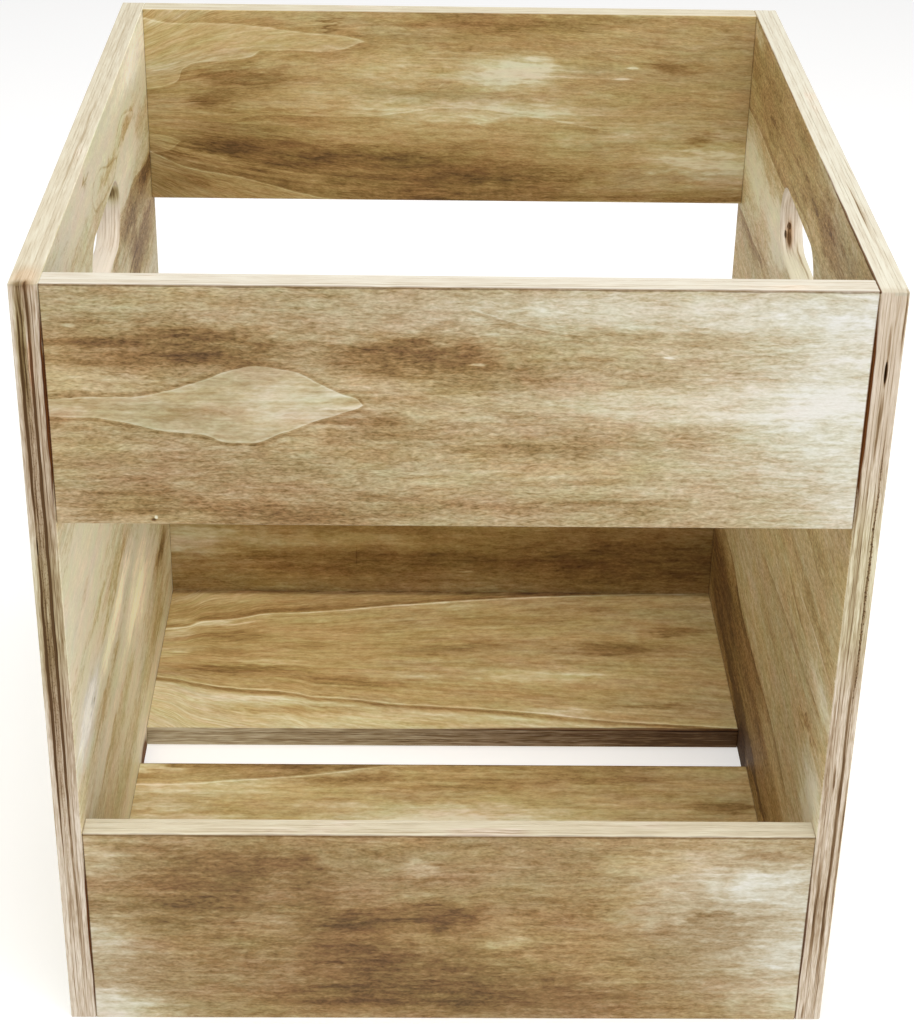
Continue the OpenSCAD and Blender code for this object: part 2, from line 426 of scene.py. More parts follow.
class Term:
    """A value in a material, which adds a Math node for each sum or product made with it."""

    def __init__(self, finish, socket):
        self.finish = finish
        self.socket = socket

    def maths(self, operation, first, second=0.0, clamp=False):
        settings = {"operation": operation, "use_clamp": clamp}
        return self.finish.add("ShaderNodeMath", settings, {0: first, 1: second})

    def __add__(self, other):
        return self.maths("ADD", self, other)

    def __radd__(self, other):
        return self.maths("ADD", other, self)

    def __sub__(self, other):
        return self.maths("SUBTRACT", self, other)

    def __rsub__(self, other):
        return self.maths("SUBTRACT", other, self)

    def __mul__(self, other):
        return self.maths("MULTIPLY", self, other)

    def __rmul__(self, other):
        return self.maths("MULTIPLY", other, self)

    def __truediv__(self, other):
        return self.maths("DIVIDE", self, other)

    def __abs__(self):
        return self.maths("ABSOLUTE", self)

    def __gt__(self, other):
        return self.maths("GREATER_THAN", self, other)

    def least(self, other):
        return self.maths("MINIMUM", self, other)

    def limited(self):
        """The value kept between 0 and 1."""
        return self.maths("ADD", self, 0.0, clamp=True)

    def rising(self, low, high):
        """0 below low, 1 above high, and an even curve between them. A low above high falls instead."""
        sockets = {"Value": self, "From Min": low, "From Max": high, "To Min": 0.0, "To Max": 1.0}
        return self.finish.add("ShaderNodeMapRange", {"interpolation_type": "SMOOTHSTEP"}, sockets)


class Finish:
    """A material in the making. Its add method makes every node."""

    def __init__(self, name):
        self.material = bpy.data.materials.new(name)
        self.material.use_nodes = True
        self.tree = self.material.node_tree
        self.shader = self.tree.nodes["Principled BSDF"]

    def add(self, kind, settings, sockets, out=0):
        """Adds a node with its settings and its sockets' values or links, and gives one of its outputs."""
        node = self.tree.nodes.new(kind)
        for name, value in settings.items():
            if name == "stops":
                self.set_stops(node.color_ramp, value)
            elif name == "points":
                self.set_points(node.mapping, value)
            else:
                setattr(node, name, value)
        for key, value in sockets.items():
            self.plug(self.pick(node.inputs, key), value)
        return Term(self, self.pick(node.outputs, out))

    def pick(self, sockets, key):
        """A socket by its number, its identifier or its name."""
        if isinstance(key, int):
            return sockets[key]
        for socket in sockets:
            if key in (socket.identifier, socket.name):
                return socket
        raise KeyError(key)

    def plug(self, socket, value):
        """Links a socket to a term, or gives it a value of its own."""
        if isinstance(value, Term):
            self.tree.links.new(value.socket, socket)
        else:
            socket.default_value = value

    def set_stops(self, ramp, stops):
        while len(ramp.elements) < len(stops):
            ramp.elements.new(1.0)
        for element, (place, colour) in zip(ramp.elements, stops):
            element.position = place
            element.color = (*colour, 1.0)

    def set_points(self, mapping, points):
        curve = mapping.curves[0]
        while len(curve.points) < len(points):
            curve.points.new(1.0, 1.0)
        for knot, place in zip(curve.points, points):
            knot.location = place
            knot.handle_type = "AUTO_CLAMPED"
        mapping.update()

    def shade(self, name, value):
        self.plug(self.shader.inputs[name], value)

    def combine(self, x, y, z):
        """A vector of three values."""
        return self.add("ShaderNodeCombineXYZ", {}, {0: x, 1: y, 2: z})

    def mix(self, amount, first, second):
        """The first colour where the amount is 0, and the second where it is 1."""
        colours = {"Factor_Float": amount, "A_Color": first, "B_Color": second}
        return self.add("ShaderNodeMix", {"data_type": "RGBA"}, colours, "Result_Color")

    def crate(self, scale=(1 / MM, 1 / MM, 1 / MM), shift=(0.0, 0.0, 0.0)):
        """The place on the crate, in millimetres unless the scale says otherwise."""
        position = self.add("ShaderNodeTexCoord", {}, {}, "Object")
        sockets = {"Vector": position, "Location": shift, "Scale": scale}
        return self.add("ShaderNodeMapping", {"vector_type": "POINT"}, sockets)

    def grain(self, point, size, detail=2.0, rough=0.5):
        """Noise whose grains have the given size in each direction, evenly above and below zero."""
        scale = [1.0 / s for s in size]
        placed = self.add("ShaderNodeMapping", {"vector_type": "POINT"}, {"Vector": point, "Scale": scale})
        sockets = {"Vector": placed, "Scale": 1.0, "Detail": detail, "Roughness": rough}
        return self.add("ShaderNodeTexNoise", {}, sockets) - 0.5

    def relief(self, height, strength, distance):
        """Gives the surface its fine relief."""
        bump = {"Strength": strength, "Distance": distance, "Height": height}
        self.shade("Normal", self.add("ShaderNodeBump", {}, bump))

    def spot(self, point, centre, reach, turn, core):
        """1 at the centre and 0 past the reach, in millimetres, turned about the third axis."""
        placed = self.add("ShaderNodeMapping", {"vector_type": "TEXTURE"}, {
            "Vector": point, "Location": centre, "Rotation": (0, 0, math.radians(turn)), "Scale": reach})
        ball = self.add("ShaderNodeTexGradient", {"gradient_type": "QUADRATIC_SPHERE"}, {"Vector": placed}, 1)
        return (ball * core).least(1.0)


# Colours of the washed veneer from bare to darkest, greyish and golden
GREYISH = (
    (0.00, (0.70, 0.66, 0.56)), (0.15, (0.60, 0.55, 0.41)), (0.35, (0.47, 0.385, 0.24)),
    (0.55, (0.35, 0.25, 0.125)), (0.75, (0.24, 0.145, 0.053)), (0.90, (0.170, 0.092, 0.030)),
    (1.00, (0.112, 0.056, 0.018)))
GOLDEN = (
    (0.00, (0.78, 0.72, 0.52)), (0.15, (0.66, 0.56, 0.33)), (0.35, (0.53, 0.40, 0.185)),
    (0.55, (0.41, 0.275, 0.105)), (0.75, (0.28, 0.168, 0.055)), (0.90, (0.19, 0.105, 0.034)),
    (1.00, (0.12, 0.065, 0.022)))
# Colours of the sawn plies from bare to darkest
SAWN = (
    (0.00, (0.71, 0.635, 0.53)), (0.15, (0.62, 0.525, 0.415)), (0.35, (0.47, 0.37, 0.26)),
    (0.55, (0.33, 0.233, 0.142)), (0.75, (0.21, 0.132, 0.062)), (0.90, (0.13, 0.067, 0.022)),
    (1.00, (0.085, 0.038, 0.008)))
# What the colour is multiplied by where it turns rusty, mossy, pinkish, greenish or cool
RUST_TINT = (1.18, 0.86, 0.62, 1.0)
MOSS_TINT = (0.93, 1.0, 0.78, 1.0)
PINK_TINT = (1.05, 0.968, 0.985, 1.0)
GREEN_TINT = (0.95, 1.022, 0.945, 1.0)
COOL_TINT = (1.0, 1.05, 1.17, 1.0)
# What the finest fibres multiply the colour by, from the palest to the darkest
FIBRE_PALE = (1.50, 1.54, 1.74, 1.0)
FIBRE_DARK = (0.50, 0.46, 0.26, 1.0)
# Share of the light kept by dark joints and stain-filled arrises, and by painted shade in corners, gaps and
# shaded arrises
JOINT_AND_SHADE_DARK = (0.17, 0.058, 0.003, 1.0)
WHITE = (1.0, 1.0, 1.0, 1.0)

# A reach right through a board, in millimetres
LONG_WAY = 1000.0
# How much of a spot keeps its full strength, from a soft cloud to a crisp line
SOFT_CORE = 2.5
SPECK_CORE = 3.0
JOINT_CORE = 5.0
FADE_CORE = 6.0
# Half width of a tongue's soft border and of its pale rim, in millimetres
TONGUE_BORDER = 0.4
TONGUE_RIM = 1.3


class Wash:
    """The stain of one board: clouds, contour lines and tongues, placed in millimetres of the crate."""

    def __init__(self, finish, board, u, v):
        self.finish = finish
        # A point's place along and across the grain
        self.u = u
        self.v = v
        # The same place with brushed borders, and with its depth in the wood for sawn edges and for joints
        # and painted shade
        self.ragged = None
        self.solid = None
        self.seam = None
        # The specks of end grain
        self.speck = None
        low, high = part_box(board.node)
        along = axis_index(board.grain)
        across = 3 - along - axis_index(board.thin)
        self.start, self.end = low[along] / MM, high[along] / MM
        self.bottom, self.top = low[across] / MM, high[across] / MM
        # What the marks add up to: stain of the seen face and of the sawn edges, golden tone, dark joints
        # with painted shade, faded plies, redness of the sawn edges, and how much calmer the fibres are
        self.face = 0.0
        self.edge = 0.0
        self.warmth = 0.0
        self.gap = 0.0
        self.smooth = 0.0
        self.blush = 0.0
        self.still = 0.0

    def face_spot(self, point, u, v, length, height, strength, turn=0.0):
        """A spot on the seen face: its place, its reach along and across the grain, and its strength."""
        reach = (length, height, LONG_WAY)
        return self.finish.spot(point, (u, v, 0.0), reach, turn, SOFT_CORE) * strength

    def edge_spot(self, point, u, v, w, length, height, depth, strength, core=SOFT_CORE):
        """A spot in the wood of a sawn edge: its place, its reach three ways, and its strength."""
        return self.finish.spot(point, (u, v, w), (length, height, depth), 0.0, core) * strength

    def clouds(self, *rows):
        """Clouds of stain on the seen face, darker where their strength is above zero."""
        for row in rows:
            self.face += self.face_spot(self.ragged, *row)

    def tones(self, *rows):
        """Makes the seen face more golden, or whiter where the strength is below zero."""
        for row in rows:
            self.warmth += self.face_spot(self.ragged, *row)

    def flecks(self, *rows):
        """Small crisp marks on the seen face."""
        point = self.finish.combine(self.u, self.v, 0.0)
        for row in rows:
            self.face += self.face_spot(point, *row)

    def streaks(self, *rows):
        """Marks on a sawn edge, darker where their strength is above zero."""
        for row in rows:
            self.edge += self.edge_spot(self.solid, *row)

    def speckles(self, *rows):
        """Dark specks of end grain on a sawn edge."""
        for row in rows:
            self.edge += self.edge_spot(self.solid, *row, SPECK_CORE) * self.speck

    def fade_plies(self, *rows):
        """Fades the plies and glue lines of a sawn edge until they hardly show; on the hand holes' walls it
        is painted light.
        """
        for row in rows:
            self.smooth += self.edge_spot(self.solid, *row, FADE_CORE)

    def rusts(self, *rows):
        """Turns a sawn edge reddish, or olive where the strength is below zero."""
        for row in rows:
            self.blush += self.edge_spot(self.solid, *row)

    def joints(self, *rows):
        """Dark lines where two boards meet, partly painted shade in their groove, stain in arrises, and
        painted shade in corners, gaps and arrises that face away from the light.
        """
        for row in rows:
            self.gap += self.edge_spot(self.seam, *row, JOINT_CORE)

    def outline(self, points):
        """The height across the grain of a curve through given points."""
        length = self.end - self.start
        height = self.top - self.bottom
        knots = [((u - self.start) / length, (v - self.bottom) / height) for u, v in points]
        along = (self.u - self.start) / length
        curve = self.finish.add("ShaderNodeFloatCurve", {"points": knots}, {"Value": along})
        return curve * height + self.bottom

    def along_flow(self, upper, lower):
        """The place across the grain where the grain runs along two outlines and spreads between them."""
        foot = self.outline(lower)
        return (self.v - foot) / (self.outline(upper) - foot) * (self.top - self.bottom)

    def line(self, points, width, depth, shade, fade, fade_in=0.0, fade_out=0.0):
        """A contour line of the veneer: a crisp pale line with a dark fade above (fade > 0) or below it."""
        gap = self.v - self.outline(points)
        crisp = abs(gap).rising(width, 0.0) * depth
        behind = gap / fade
        dark = behind.rising(1.0, 0.0) * (behind > 0.0) * shade
        mark = crisp + dark
        if fade_in:
            mark = mark * self.u.rising(points[0][0], points[0][0] + fade_in)
        if fade_out:
            mark = mark * self.u.rising(points[-1][0], points[-1][0] - fade_out)
        self.face += mark

    def beyond(self, points, depth, blend):
        """Other veneer above an outline, or below it where blend is under zero."""
        gap = (self.v - self.outline(points)) / blend
        self.face += gap.rising(0.0, 1.0) * depth

    def tongue(self, upper, lower, depth, rim, shade, fade, still=0.0):
        """A patch of other veneer between two outlines, with a pale rim and a dark fade outside it."""
        inside = (self.outline(upper) - self.v).least(self.v - self.outline(lower))
        within = inside.rising(-TONGUE_BORDER, TONGUE_BORDER)
        body = within * depth
        self.still += within * still
        edge = abs(inside).rising(TONGUE_RIM, 0.0) * rim
        outside = inside / -fade
        dark = outside.rising(1.0, 0.0) * (outside > 0.0) * shade
        self.face += body + edge + dark


# The boards' marks, in millimetres of the crate. face_spot and edge_spot name the numbers of their rows
FRONT_TONGUE_TOP = (
    (-168, 332.5), (-150, 334), (-130, 335), (-108, 341.5), (-80, 349), (-67, 346.5),
    (-58, 341.5), (-48, 335.5), (-41.5, 333), (-38.5, 329), (-30, 318))
FRONT_TONGUE_FOOT = (
    (-168, 324), (-143, 322.7), (-123, 319), (-105, 317), (-93, 313.5), (-85, 313.5),
    (-73, 317), (-58, 322.7), (-44, 327.6), (-40, 329.5), (-30, 340))


def slat_joints_shade_and_highlight(wash, depth):
    """The dark joints at both ends of a slat, partly painted shade, a painted highlight along the top's front
    arris, a faint line in the top, and a dark line under its top arris.
    """
    for end in (wash.start, wash.end):
        wash.joints((end, (wash.bottom + wash.top) / 2, 6.0, 0.9, 90, 1.6, depth))
    # The first streak is a painted highlight, a paler band along the top's front arris; the second is a faint
    # line in the top
    wash.streaks((0, wash.top, 5.3, 500, 3.0, 1.3, -0.20), (-20, wash.top, 3.3, 150, 3.0, 0.5, 0.24, 5.0))
    wash.joints((0, wash.top - 0.3, 6.0, 500, 0.9, 1.6, depth * 0.55))


def wash_front_upper(wash):
    slat_joints_shade_and_highlight(wash, 1.0)
    wash.tongue(FRONT_TONGUE_TOP, FRONT_TONGUE_FOOT, -0.08, -0.14, 0.24, 3.5, 0.55)
    wash.line(((0, 376), (7, 374), (40, 364), (60, 363)), 0.8, -0.10, 0.14, -5.0, 8.0, 15.0)
    wash.clouds(
        (185, 330, 110, 130, -0.36), (135, 296, 60, 26, 0.12), (132, 334, 24, 8, 0.10),
        (85, 356, 44, 6, -0.12), (-156, 358, 30, 8, 0.12), (100, 332, 110, 16, -0.24),
        (80, 374, 120, 16, -0.26), (-20, 376, 50, 8, -0.08), (-110, 356, 66, 18, 0.30),
        (-106, 354, 20, 9, 0.16), (-150, 362, 50, 12, 0.12), (-20, 354, 60, 13, 0.34),
        (14, 345, 50, 9, 0.16), (-100, 298, 110, 26, 0.10), (-132, 284, 40, 14, 0.16),
        (-75, 279, 60, 12, 0.26), (-35, 320, 40, 9, 0.18), (-20, 284, 40, 10, 0.14), (30, 312, 60, 8, 0.16),
        (100, 314, 44, 5, 0.08), (50, 284, 80, 6, 0.14), (110, 300, 60, 30, -0.12),
        (-150, 343, 28, 5, -0.10), (0, 326, 30, 5, -0.12), (10, 299, 90, 6, -0.08),
        (-66, 331, 36, 22, -0.16), (-112, 324, 24, 6, 0.10))
    wash.tones((185, 330, 120, 130, -0.7), (60, 374, 220, 16, -0.4))
    wash.flecks(
        (8, 350, 6, 1.0, -0.45), (-157, 366, 5, 1.2, -0.30), (85, 354, 4, 1.0, -0.35),
        (-126, 277, 1.2, 1.6, -0.6), (-127, 276, 2.2, 1.0, 0.5))


def wash_front_lower(wash):
    slat_joints_shade_and_highlight(wash, 0.9)
    wash.clouds(
        (-172, 4, 66, 26, -0.46), (-172, 46, 46, 24, -0.30), (-168, 98, 30, 20, -0.22),
        (-110, 82, 56, 34, 0.20), (-64, 80, 20, 34, 0.14), (-2, 62, 30, 16, 0.28), (-48, 46, 40, 34, 0.20),
        (-10, 22, 80, 34, 0.22), (50, 12, 90, 14, 0.14), (54, 24, 20, 9, 0.12), (60, 66, 50, 16, 0.08),
        (118, 90, 70, 34, -0.26), (175, 82, 80, 34, -0.30), (185, 30, 90, 60, -0.40),
        (148, 95, 44, 10, 0.18), (156, 26, 36, 10, 0.14), (96, 64, 44, 13, -0.18), (-60, 14, 60, 12, 0.16),
        (-36, 62, 34, 12, 0.18), (-80, 94, 26, 8, 0.16), (-110, 60, 60, 20, 0.08), (-156, 27, 26, 7, -0.16),
        (-95, 38, 40, 20, 0.10), (122, 64, 24, 3.4, 0.16), (145, 99, 16, 5, 0.16), (90, 102, 60, 6, 0.06),
        (30, 48, 18, 8, -0.16), (-15, 91, 14, 9, -0.18), (-88, 60, 18, 8, -0.12))
    wash.tones((170, 60, 110, 70, -1.1), (-172, 30, 60, 60, -0.4))


def wash_back_upper(wash):
    wash.tongue(
        ((-168, 380), (-155, 377), (-120, 375.5), (-80, 371), (-60, 369.5), (-47, 366.5), (-36, 362)),
        ((-168, 338), (-155, 341), (-150, 344), (-148, 350), (-140, 354),
         (-110, 358), (-103, 361), (-65, 361.5), (-47, 366.3), (-36, 370)),
        -0.09, -0.12, 0.16, 8.0, 0.2)
    wash.beyond(
        ((-168, 301), (-160, 299), (-140, 291), (-120, 288), (-100, 283), (-80, 277), (-65, 274), (-40, 260)),
        0.08, -0.5)
    wash.line(
        ((-168, 303), (-162, 300), (-140, 291), (-120, 288), (-100, 283), (-80, 277), (-65, 274), (-40, 260)),
        1.0, -0.20, 0.30, 10.0)
    wash.tongue(
        ((-168, 312), (-158, 311), (-150, 308)), ((-168, 302), (-158, 303), (-150, 308.2)),
        -0.10, -0.10, 0.1, 3.0)
    wash.line(
        ((-130, 318), (-100, 325), (-50, 324), (0, 329), (60, 322), (110, 312)),
        0.8, -0.10, 0.12, -7.0, 20, 30)
    wash.line(((-10, 330), (5, 331), (15, 329), (12, 333), (0, 345)), 0.8, -0.10, 0.0, 3.0, 4, 4)
    wash.clouds(
        (-150, 380, 40, 6, -0.14), (-125, 305, 50, 9, 0.22), (-110, 332, 56, 12, 0.16),
        (-100, 320, 80, 10, 0.10), (-62, 293, 34, 10, -0.20), (45, 291, 80, 12, 0.26),
        (50, 380, 160, 8, 0.16), (36, 326, 50, 10, -0.12), (84, 313, 36, 8, -0.12),
        (156, 290, 26, 12, -0.18), (-160, 352, 12, 7, -0.12), (-115, 346, 50, 10, 0.32),
        (-132, 335, 26, 10, 0.22), (-100, 304, 90, 20, 0.30, -8.0), (-40, 292, 100, 20, 0.36),
        (-150, 284, 36, 10, 0.20), (0, 304, 90, 12, 0.16), (25, 282, 90, 12, 0.22),
        (36, 350, 46, 14, -0.44), (-30, 352, 50, 14, -0.14), (-85, 333, 56, 8, -0.14, 6.0),
        (20, 327, 120, 12, -0.22), (-40, 330, 34, 6, -0.16), (-15, 338, 26, 6, 0.10),
        (120, 315, 60, 14, -0.10), (150, 300, 56, 12, -0.34), (140, 313, 12, 7, 0.30),
        (125, 355, 26, 7, 0.26), (20, 376, 90, 10, 0.16), (20, 366, 120, 8, 0.10), (-66, 377, 5, 7, 0.30))
    wash.tones((-100, 368, 90, 12, 0.5), (0, 300, 200, 40, 0.25))
    wash.flecks((102, 354, 6, 1.2, -0.45), (96, 347, 8, 1.2, -0.40))
    wash.joints((0, 384, 6.0, 150, 1.2, 1.4, 0.3))


def wash_back_lower(wash):
    # Painted shade: the cloud centred at 130 along the slat darkens its right half
    wash.clouds(
        (-70, 50, 100, 8, -0.20), (-110, 38, 36, 7, 0.22), (-60, 28, 150, 6, 0.12),
        (-140, 44, 90, 30, -0.16), (-160, 50, 50, 16, -0.34), (-20, 36, 150, 8, 0.16),
        (130, 34, 160, 30, 0.24), (-10, 15, 170, 6, -0.06))
    wash.flecks((-120, 34, 7, 1.2, -0.3), (15, 27, 8, 1.2, -0.3), (-53, 38, 0.7, 12, 0.12))


REAR_LINE = (
    (-168, 133), (-155, 136), (-145, 142), (-130, 144), (-120, 147), (-110, 150), (-90, 151.5), (-60, 155),
    (-30, 160), (0, 165), (20, 168.5), (60, 172), (80, 174), (168, 178))
FORE_LINE = (
    (-168, 82), (-155, 79), (-140, 74), (-120, 70), (-85, 66), (-75, 62), (-60, 60.5), (-30, 56), (0, 52.5),
    (30, 49), (60, 45), (90, 41), (120, 38), (150, 35), (168, 32))


def wash_rear_base(wash):
    wash.line(REAR_LINE, 2.0, -0.38, 0.34, 9.0)
    wash.line(FORE_LINE, 2.2, -0.30, 0.38, -6.5)
    wash.beyond(FORE_LINE, -0.26, -7.0)
    wash.beyond(REAR_LINE, 0.08, 6.0)
    wash.clouds(
        (0, 180, 400, 5, 0.30), (-140, 168, 60, 12, -0.20), (-138, 140, 30, 6, -0.30),
        (-90, 146, 50, 4, -0.12), (-160, 128, 16, 12, -0.20), (-125, 126, 40, 12, 0.20),
        (-130, 108, 30, 7, 0.14), (-120, 90, 60, 11, 0.30), (-60, 78, 50, 9, 0.20, -8.0),
        (-80, 116, 28, 6, 0.18), (-40, 135, 40, 6, 0.10, 8.0), (10, 114, 60, 10, 0.22, 8.0),
        (20, 70, 110, 5, 0.08, -6.0), (105, 114, 50, 12, 0.34), (144, 133, 26, 7, 0.24),
        (50, 145, 80, 9, 0.12), (90, 158, 50, 7, 0.12), (122, 55, 34, 4, 0.24), (60, 84, 66, 12, -0.26),
        (-20, 84, 30, 7, -0.12), (25, 136, 24, 4, -0.18), (-162, 108, 14, 14, -0.16),
        (-80, 49, 90, 7, 0.22), (0, 37, 60, 5, 0.16), (72, 46, 36, 5, -0.20), (-108, 97, 34, 7, -0.22),
        (-158, 138, 20, 12, -0.14), (-120, 61, 60, 5, -0.14), (80, 49, 60, 5, -0.14),
        (0, 161, 50, 4, -0.16))
    wash.tones((-90, 128, 90, 50, 0.4), (-130, 150, 60, 40, 0.6))
    # The front edge is darker towards the right end, partly stain and partly painted shade of the right
    # panel, and paler at the left end
    wash.streaks((190, 31, 0, 330, 8, 60, 0.62, 1.3), (-160, 31, 0, 120, 8, 60, -0.14, 1.3))
    wash.rusts((-110, 31, 0, 220, 8, 60, -0.5))
    # Painted shade: a dark line along the front top arris towards the right end, and a painted contact shadow
    # along the back, where the back slat meets the board
    wash.joints((130, 31, 5.8, 190, 3.0, 1.3, 0.85), (0, 178, 6.0, 500, 6.5, 2.0, 0.5))


def wash_front_base(wash):
    outline = ((-168, -22), (-140, -21), (-110, -17), (-80, -14), (-50, -9), (-30, -5), (-10, -3), (0, -2))
    wash.line(outline, 1.8, -0.26, 0.26, 6.0, 0.0, 20.0)
    wash.beyond(outline + ((60, 4), (168, 8)), 0.14, 4.0)
    wash.clouds(
        (-162, -6, 28, 9, -0.44), (-150, -41, 50, 7, -0.26), (0, -40, 180, 5, -0.12),
        (-84, -6, 40, 5, 0.16), (-36, -15, 30, 6, 0.20), (90, -12, 50, 14, 0.14), (0, -4, 300, 6, 0.14),
        (-130, -24, 70, 20, -0.20), (-158, -26, 30, 14, -0.10), (-60, -18, 40, 6, 0.22),
        (10, -24, 60, 6, 0.20), (60, -16, 120, 8, 0.16), (120, -30, 50, 5, 0.10), (152, -40, 30, 9, 0.28),
        (10, -54, 120, 20, -0.38), (-110, -40, 50, 9, 0.08), (-150, -52, 60, 8, -0.20))
    # Painted shade: a dark line along the top's rear arris, at the gap between the base boards
    wash.joints((0, wash.top, 6.0, 500, 1.6, 1.8, 0.6))


def wash_left_side(wash):
    wash.line(((-120, 154), (-90, 151), (-60, 149), (-20, 146), (15, 139)), 1.0, -0.10, 0.18, 8.0, 30, 30)
    wash.tongue(
        ((-50, 350), (-37, 358), (-29, 363), (-9, 362), (19, 354), (49, 346), (62, 338)),
        ((-50, 366), (-37, 357.5), (-32, 351), (-16, 347), (20, 342), (32, 341), (62, 354)),
        -0.02, 0.16, 0.14, 3.0)
    edge = ((9, 304), (25, 303), (34, 307), (54, 313), (75, 314), (98, 314), (148, 304), (180, 302))
    wash.line(edge, 0.8, -0.08, 0.28, -16.0, 12.0)
    wash.line(((45, 356), (70, 359), (95, 354), (118, 347)), 0.9, -0.06, 0.22, 4.0, 10, 4)
    wash.line(((-150, 200), (-90, 207), (-40, 203), (20, 196), (90, 202)), 1.2, -0.10, 0.14, 6.0, 30, 40)
    wash.line(((-20, 92), (20, 96), (60, 92), (110, 84)), 1.2, -0.10, 0.20, -6.0, 30, 40)
    wash.clouds(
        (60, 330, 100, 14, -0.12), (-30, 144, 60, 10, -0.20), (36, 102, 60, 14, -0.14),
        (146, 370, 60, 16, -0.20), (110, 380, 160, 26, -0.18), (170, 350, 40, 40, -0.14),
        (130, 268, 96, 22, 0.44), (160, 252, 40, 14, 0.16), (-20, 325, 70, 14, -0.16),
        (-140, 338, 40, 10, 0.16), (-90, 146, 130, 26, -0.24), (-30, 118, 170, 22, -0.20),
        (50, 92, 100, 16, -0.26), (-120, 168, 110, 10, -0.12), (0, 374, 260, 34, -0.26),
        (150, 372, 110, 30, -0.34), (80, 332, 110, 24, -0.26), (125, 297, 110, 18, 0.36, -6.0),
        (165, 298, 50, 12, 0.26, -6.0), (120, 272, 80, 16, 0.16), (85, 294, 60, 18, 0.30),
        (60, 303, 40, 5, 0.20), (-56, 374, 12, 6, 0.42), (10, 353, 52, 6, 0.22, -4.0),
        (85, 350, 36, 5, 0.30, -6.0), (-110, 215, 190, 70, -0.26), (-145, 204, 36, 5, 0.16),
        (-165, 181, 30, 4, 0.14), (-95, 176, 50, 4, 0.20), (-120, 250, 60, 6, 0.12),
        (-60, 165, 60, 8, 0.14), (-45, 156, 80, 5, 0.30), (-50, 138, 120, 12, -0.42),
        (10, 136, 30, 8, -0.06), (-30, 143, 44, 8, -0.12), (-155, 148, 54, 24, -0.50),
        (-135, 145, 9, 4, 0.30, -30.0), (-90, 121, 90, 8, 0.24), (-100, 125, 18, 4, 0.18),
        (-55, 124, 28, 4, 0.24), (-14, 126, 20, 4, 0.20), (30, 108, 90, 30, -0.38),
        (-60, 100, 150, 14, -0.32), (-95, 90, 50, 5, 0.16), (60, 82, 90, 12, -0.30),
        (-10, 66, 110, 16, -0.18), (140, 68, 50, 9, 0.40, -8.0), (20, 20, 230, 18, -0.34),
        (150, 40, 60, 10, -0.20), (92, 280, 30, 16, 0.26), (150, 286, 40, 14, 0.06),
        (186, 295, 16, 60, 0.24), (148, 332, 64, 12, 0.18), (150, 370, 50, 14, 0.16),
        (-160, 344, 26, 9, 0.20), (-182, 46, 20, 36, 0.26), (128, 66, 50, 14, 0.22),
        (116, 38, 70, 20, 0.16))
    wash.tones(
        (150, 374, 130, 24, -0.4), (120, 285, 110, 34, -0.2), (60, 352, 90, 14, 0.5),
        (-150, 148, 60, 24, -0.8), (-60, 65, 60, 22, 0.35), (116, 38, 100, 30, 0.5), (-60, 66, 90, 34, 1.2),
        (-40, 34, 170, 26, 0.6))
    wash.flecks((-137, 146, 6, 2.2, 0.55), (-131, 143, 4, 1.8, 0.65))
    # The first streak pales the hand hole's walls, painted light from outside the hole; the second darkens
    # the far round end under its overhang, a painted shadow
    wash.streaks(
        (0, 321, 0, 66, 32, 60, -0.50, 3.0), (50, 329, 2.0, 7, 9, 6.5, 0.62, 2.0),
        (44, 334, 0, 26, 9, 14, 0.12), (-190, 260, 0, 7, 220, 60, 0.30, 2.5),
        (-190, 235, -1.0, 7, 220, 3.2, 0.16, 2.5), (-190, 320, -2.9, 7, 62, 0.9, 0.75, 6.0),
        (-190, 182, -2.9, 7, 104, 0.9, 0.75, 6.0), (-190, 240, 1.1, 7, 220, 0.9, 0.75, 6.0),
        (-190, 350, 0.9, 7, 22, 1.2, -0.16), (-190, 225, -5.2, 7, 150, 1.5, -0.20),
        (-190, 40, 0, 7, 70, 60, 0.10), (-190, 30, -3.0, 7, 60, 3.0, -0.12),
        (-190, 66, 1.6, 7, 50, 1.0, 0.34), (-190, 66, -2.4, 7, 12, 0.9, 0.26),
        (-190, 376, 1.5, 7, 22, 3.5, 0.22), (-190, 230, 4.0, 7, 60, 1.0, 0.20),
        (-190, 384, -1.0, 3.0, 3.4, 6.5, 0.12), (-190, 356, -5.3, 7, 60, 1.4, -0.24),
        (-190, 358, -2.0, 7, 50, 3.0, 0.30), (-182, 384, 0.0, 18, 7, 9, 0.12),
        (-30, 384, 0.6, 120, 7, 0.9, 0.22), (120, 384, 0.4, 70, 7, 0.9, 0.18))
    wash.speckles((-190, 235, -1.0, 7, 200, 3.0, 0.16))
    # Painted light: the plies of the hand hole's walls fade, as if washed out by the light
    wash.fade_plies((0, 321, 0, 70, 34, 60, 0.8))
    # The first rust gives the painted shadow in the hand hole its olive tone
    wash.rusts(
        (50, 329, 2.0, 11, 13, 9, -1.0), (-190, 358, -2.0, 7, 50, 3.6, -0.9),
        (-184, 384, 0.0, 18, 8, 9, 0.28), (-190, 348, 0.8, 7, 24, 1.8, 0.8),
        (-190, 230, 0.0, 7, 64, 60, -0.6))
    # Painted shade on the panel's foot seen through the gap between the base boards, then the dark joints
    # with the slats, partly painted shade
    wash.joints(
        (14, 2, 6.0, 24, 14, 3.0, 0.95), (-190, 329, 5.6, 2.0, 66, 0.85, 1.0),
        (-190, 50, 6.0, 2.0, 66, 0.9, 1.0))


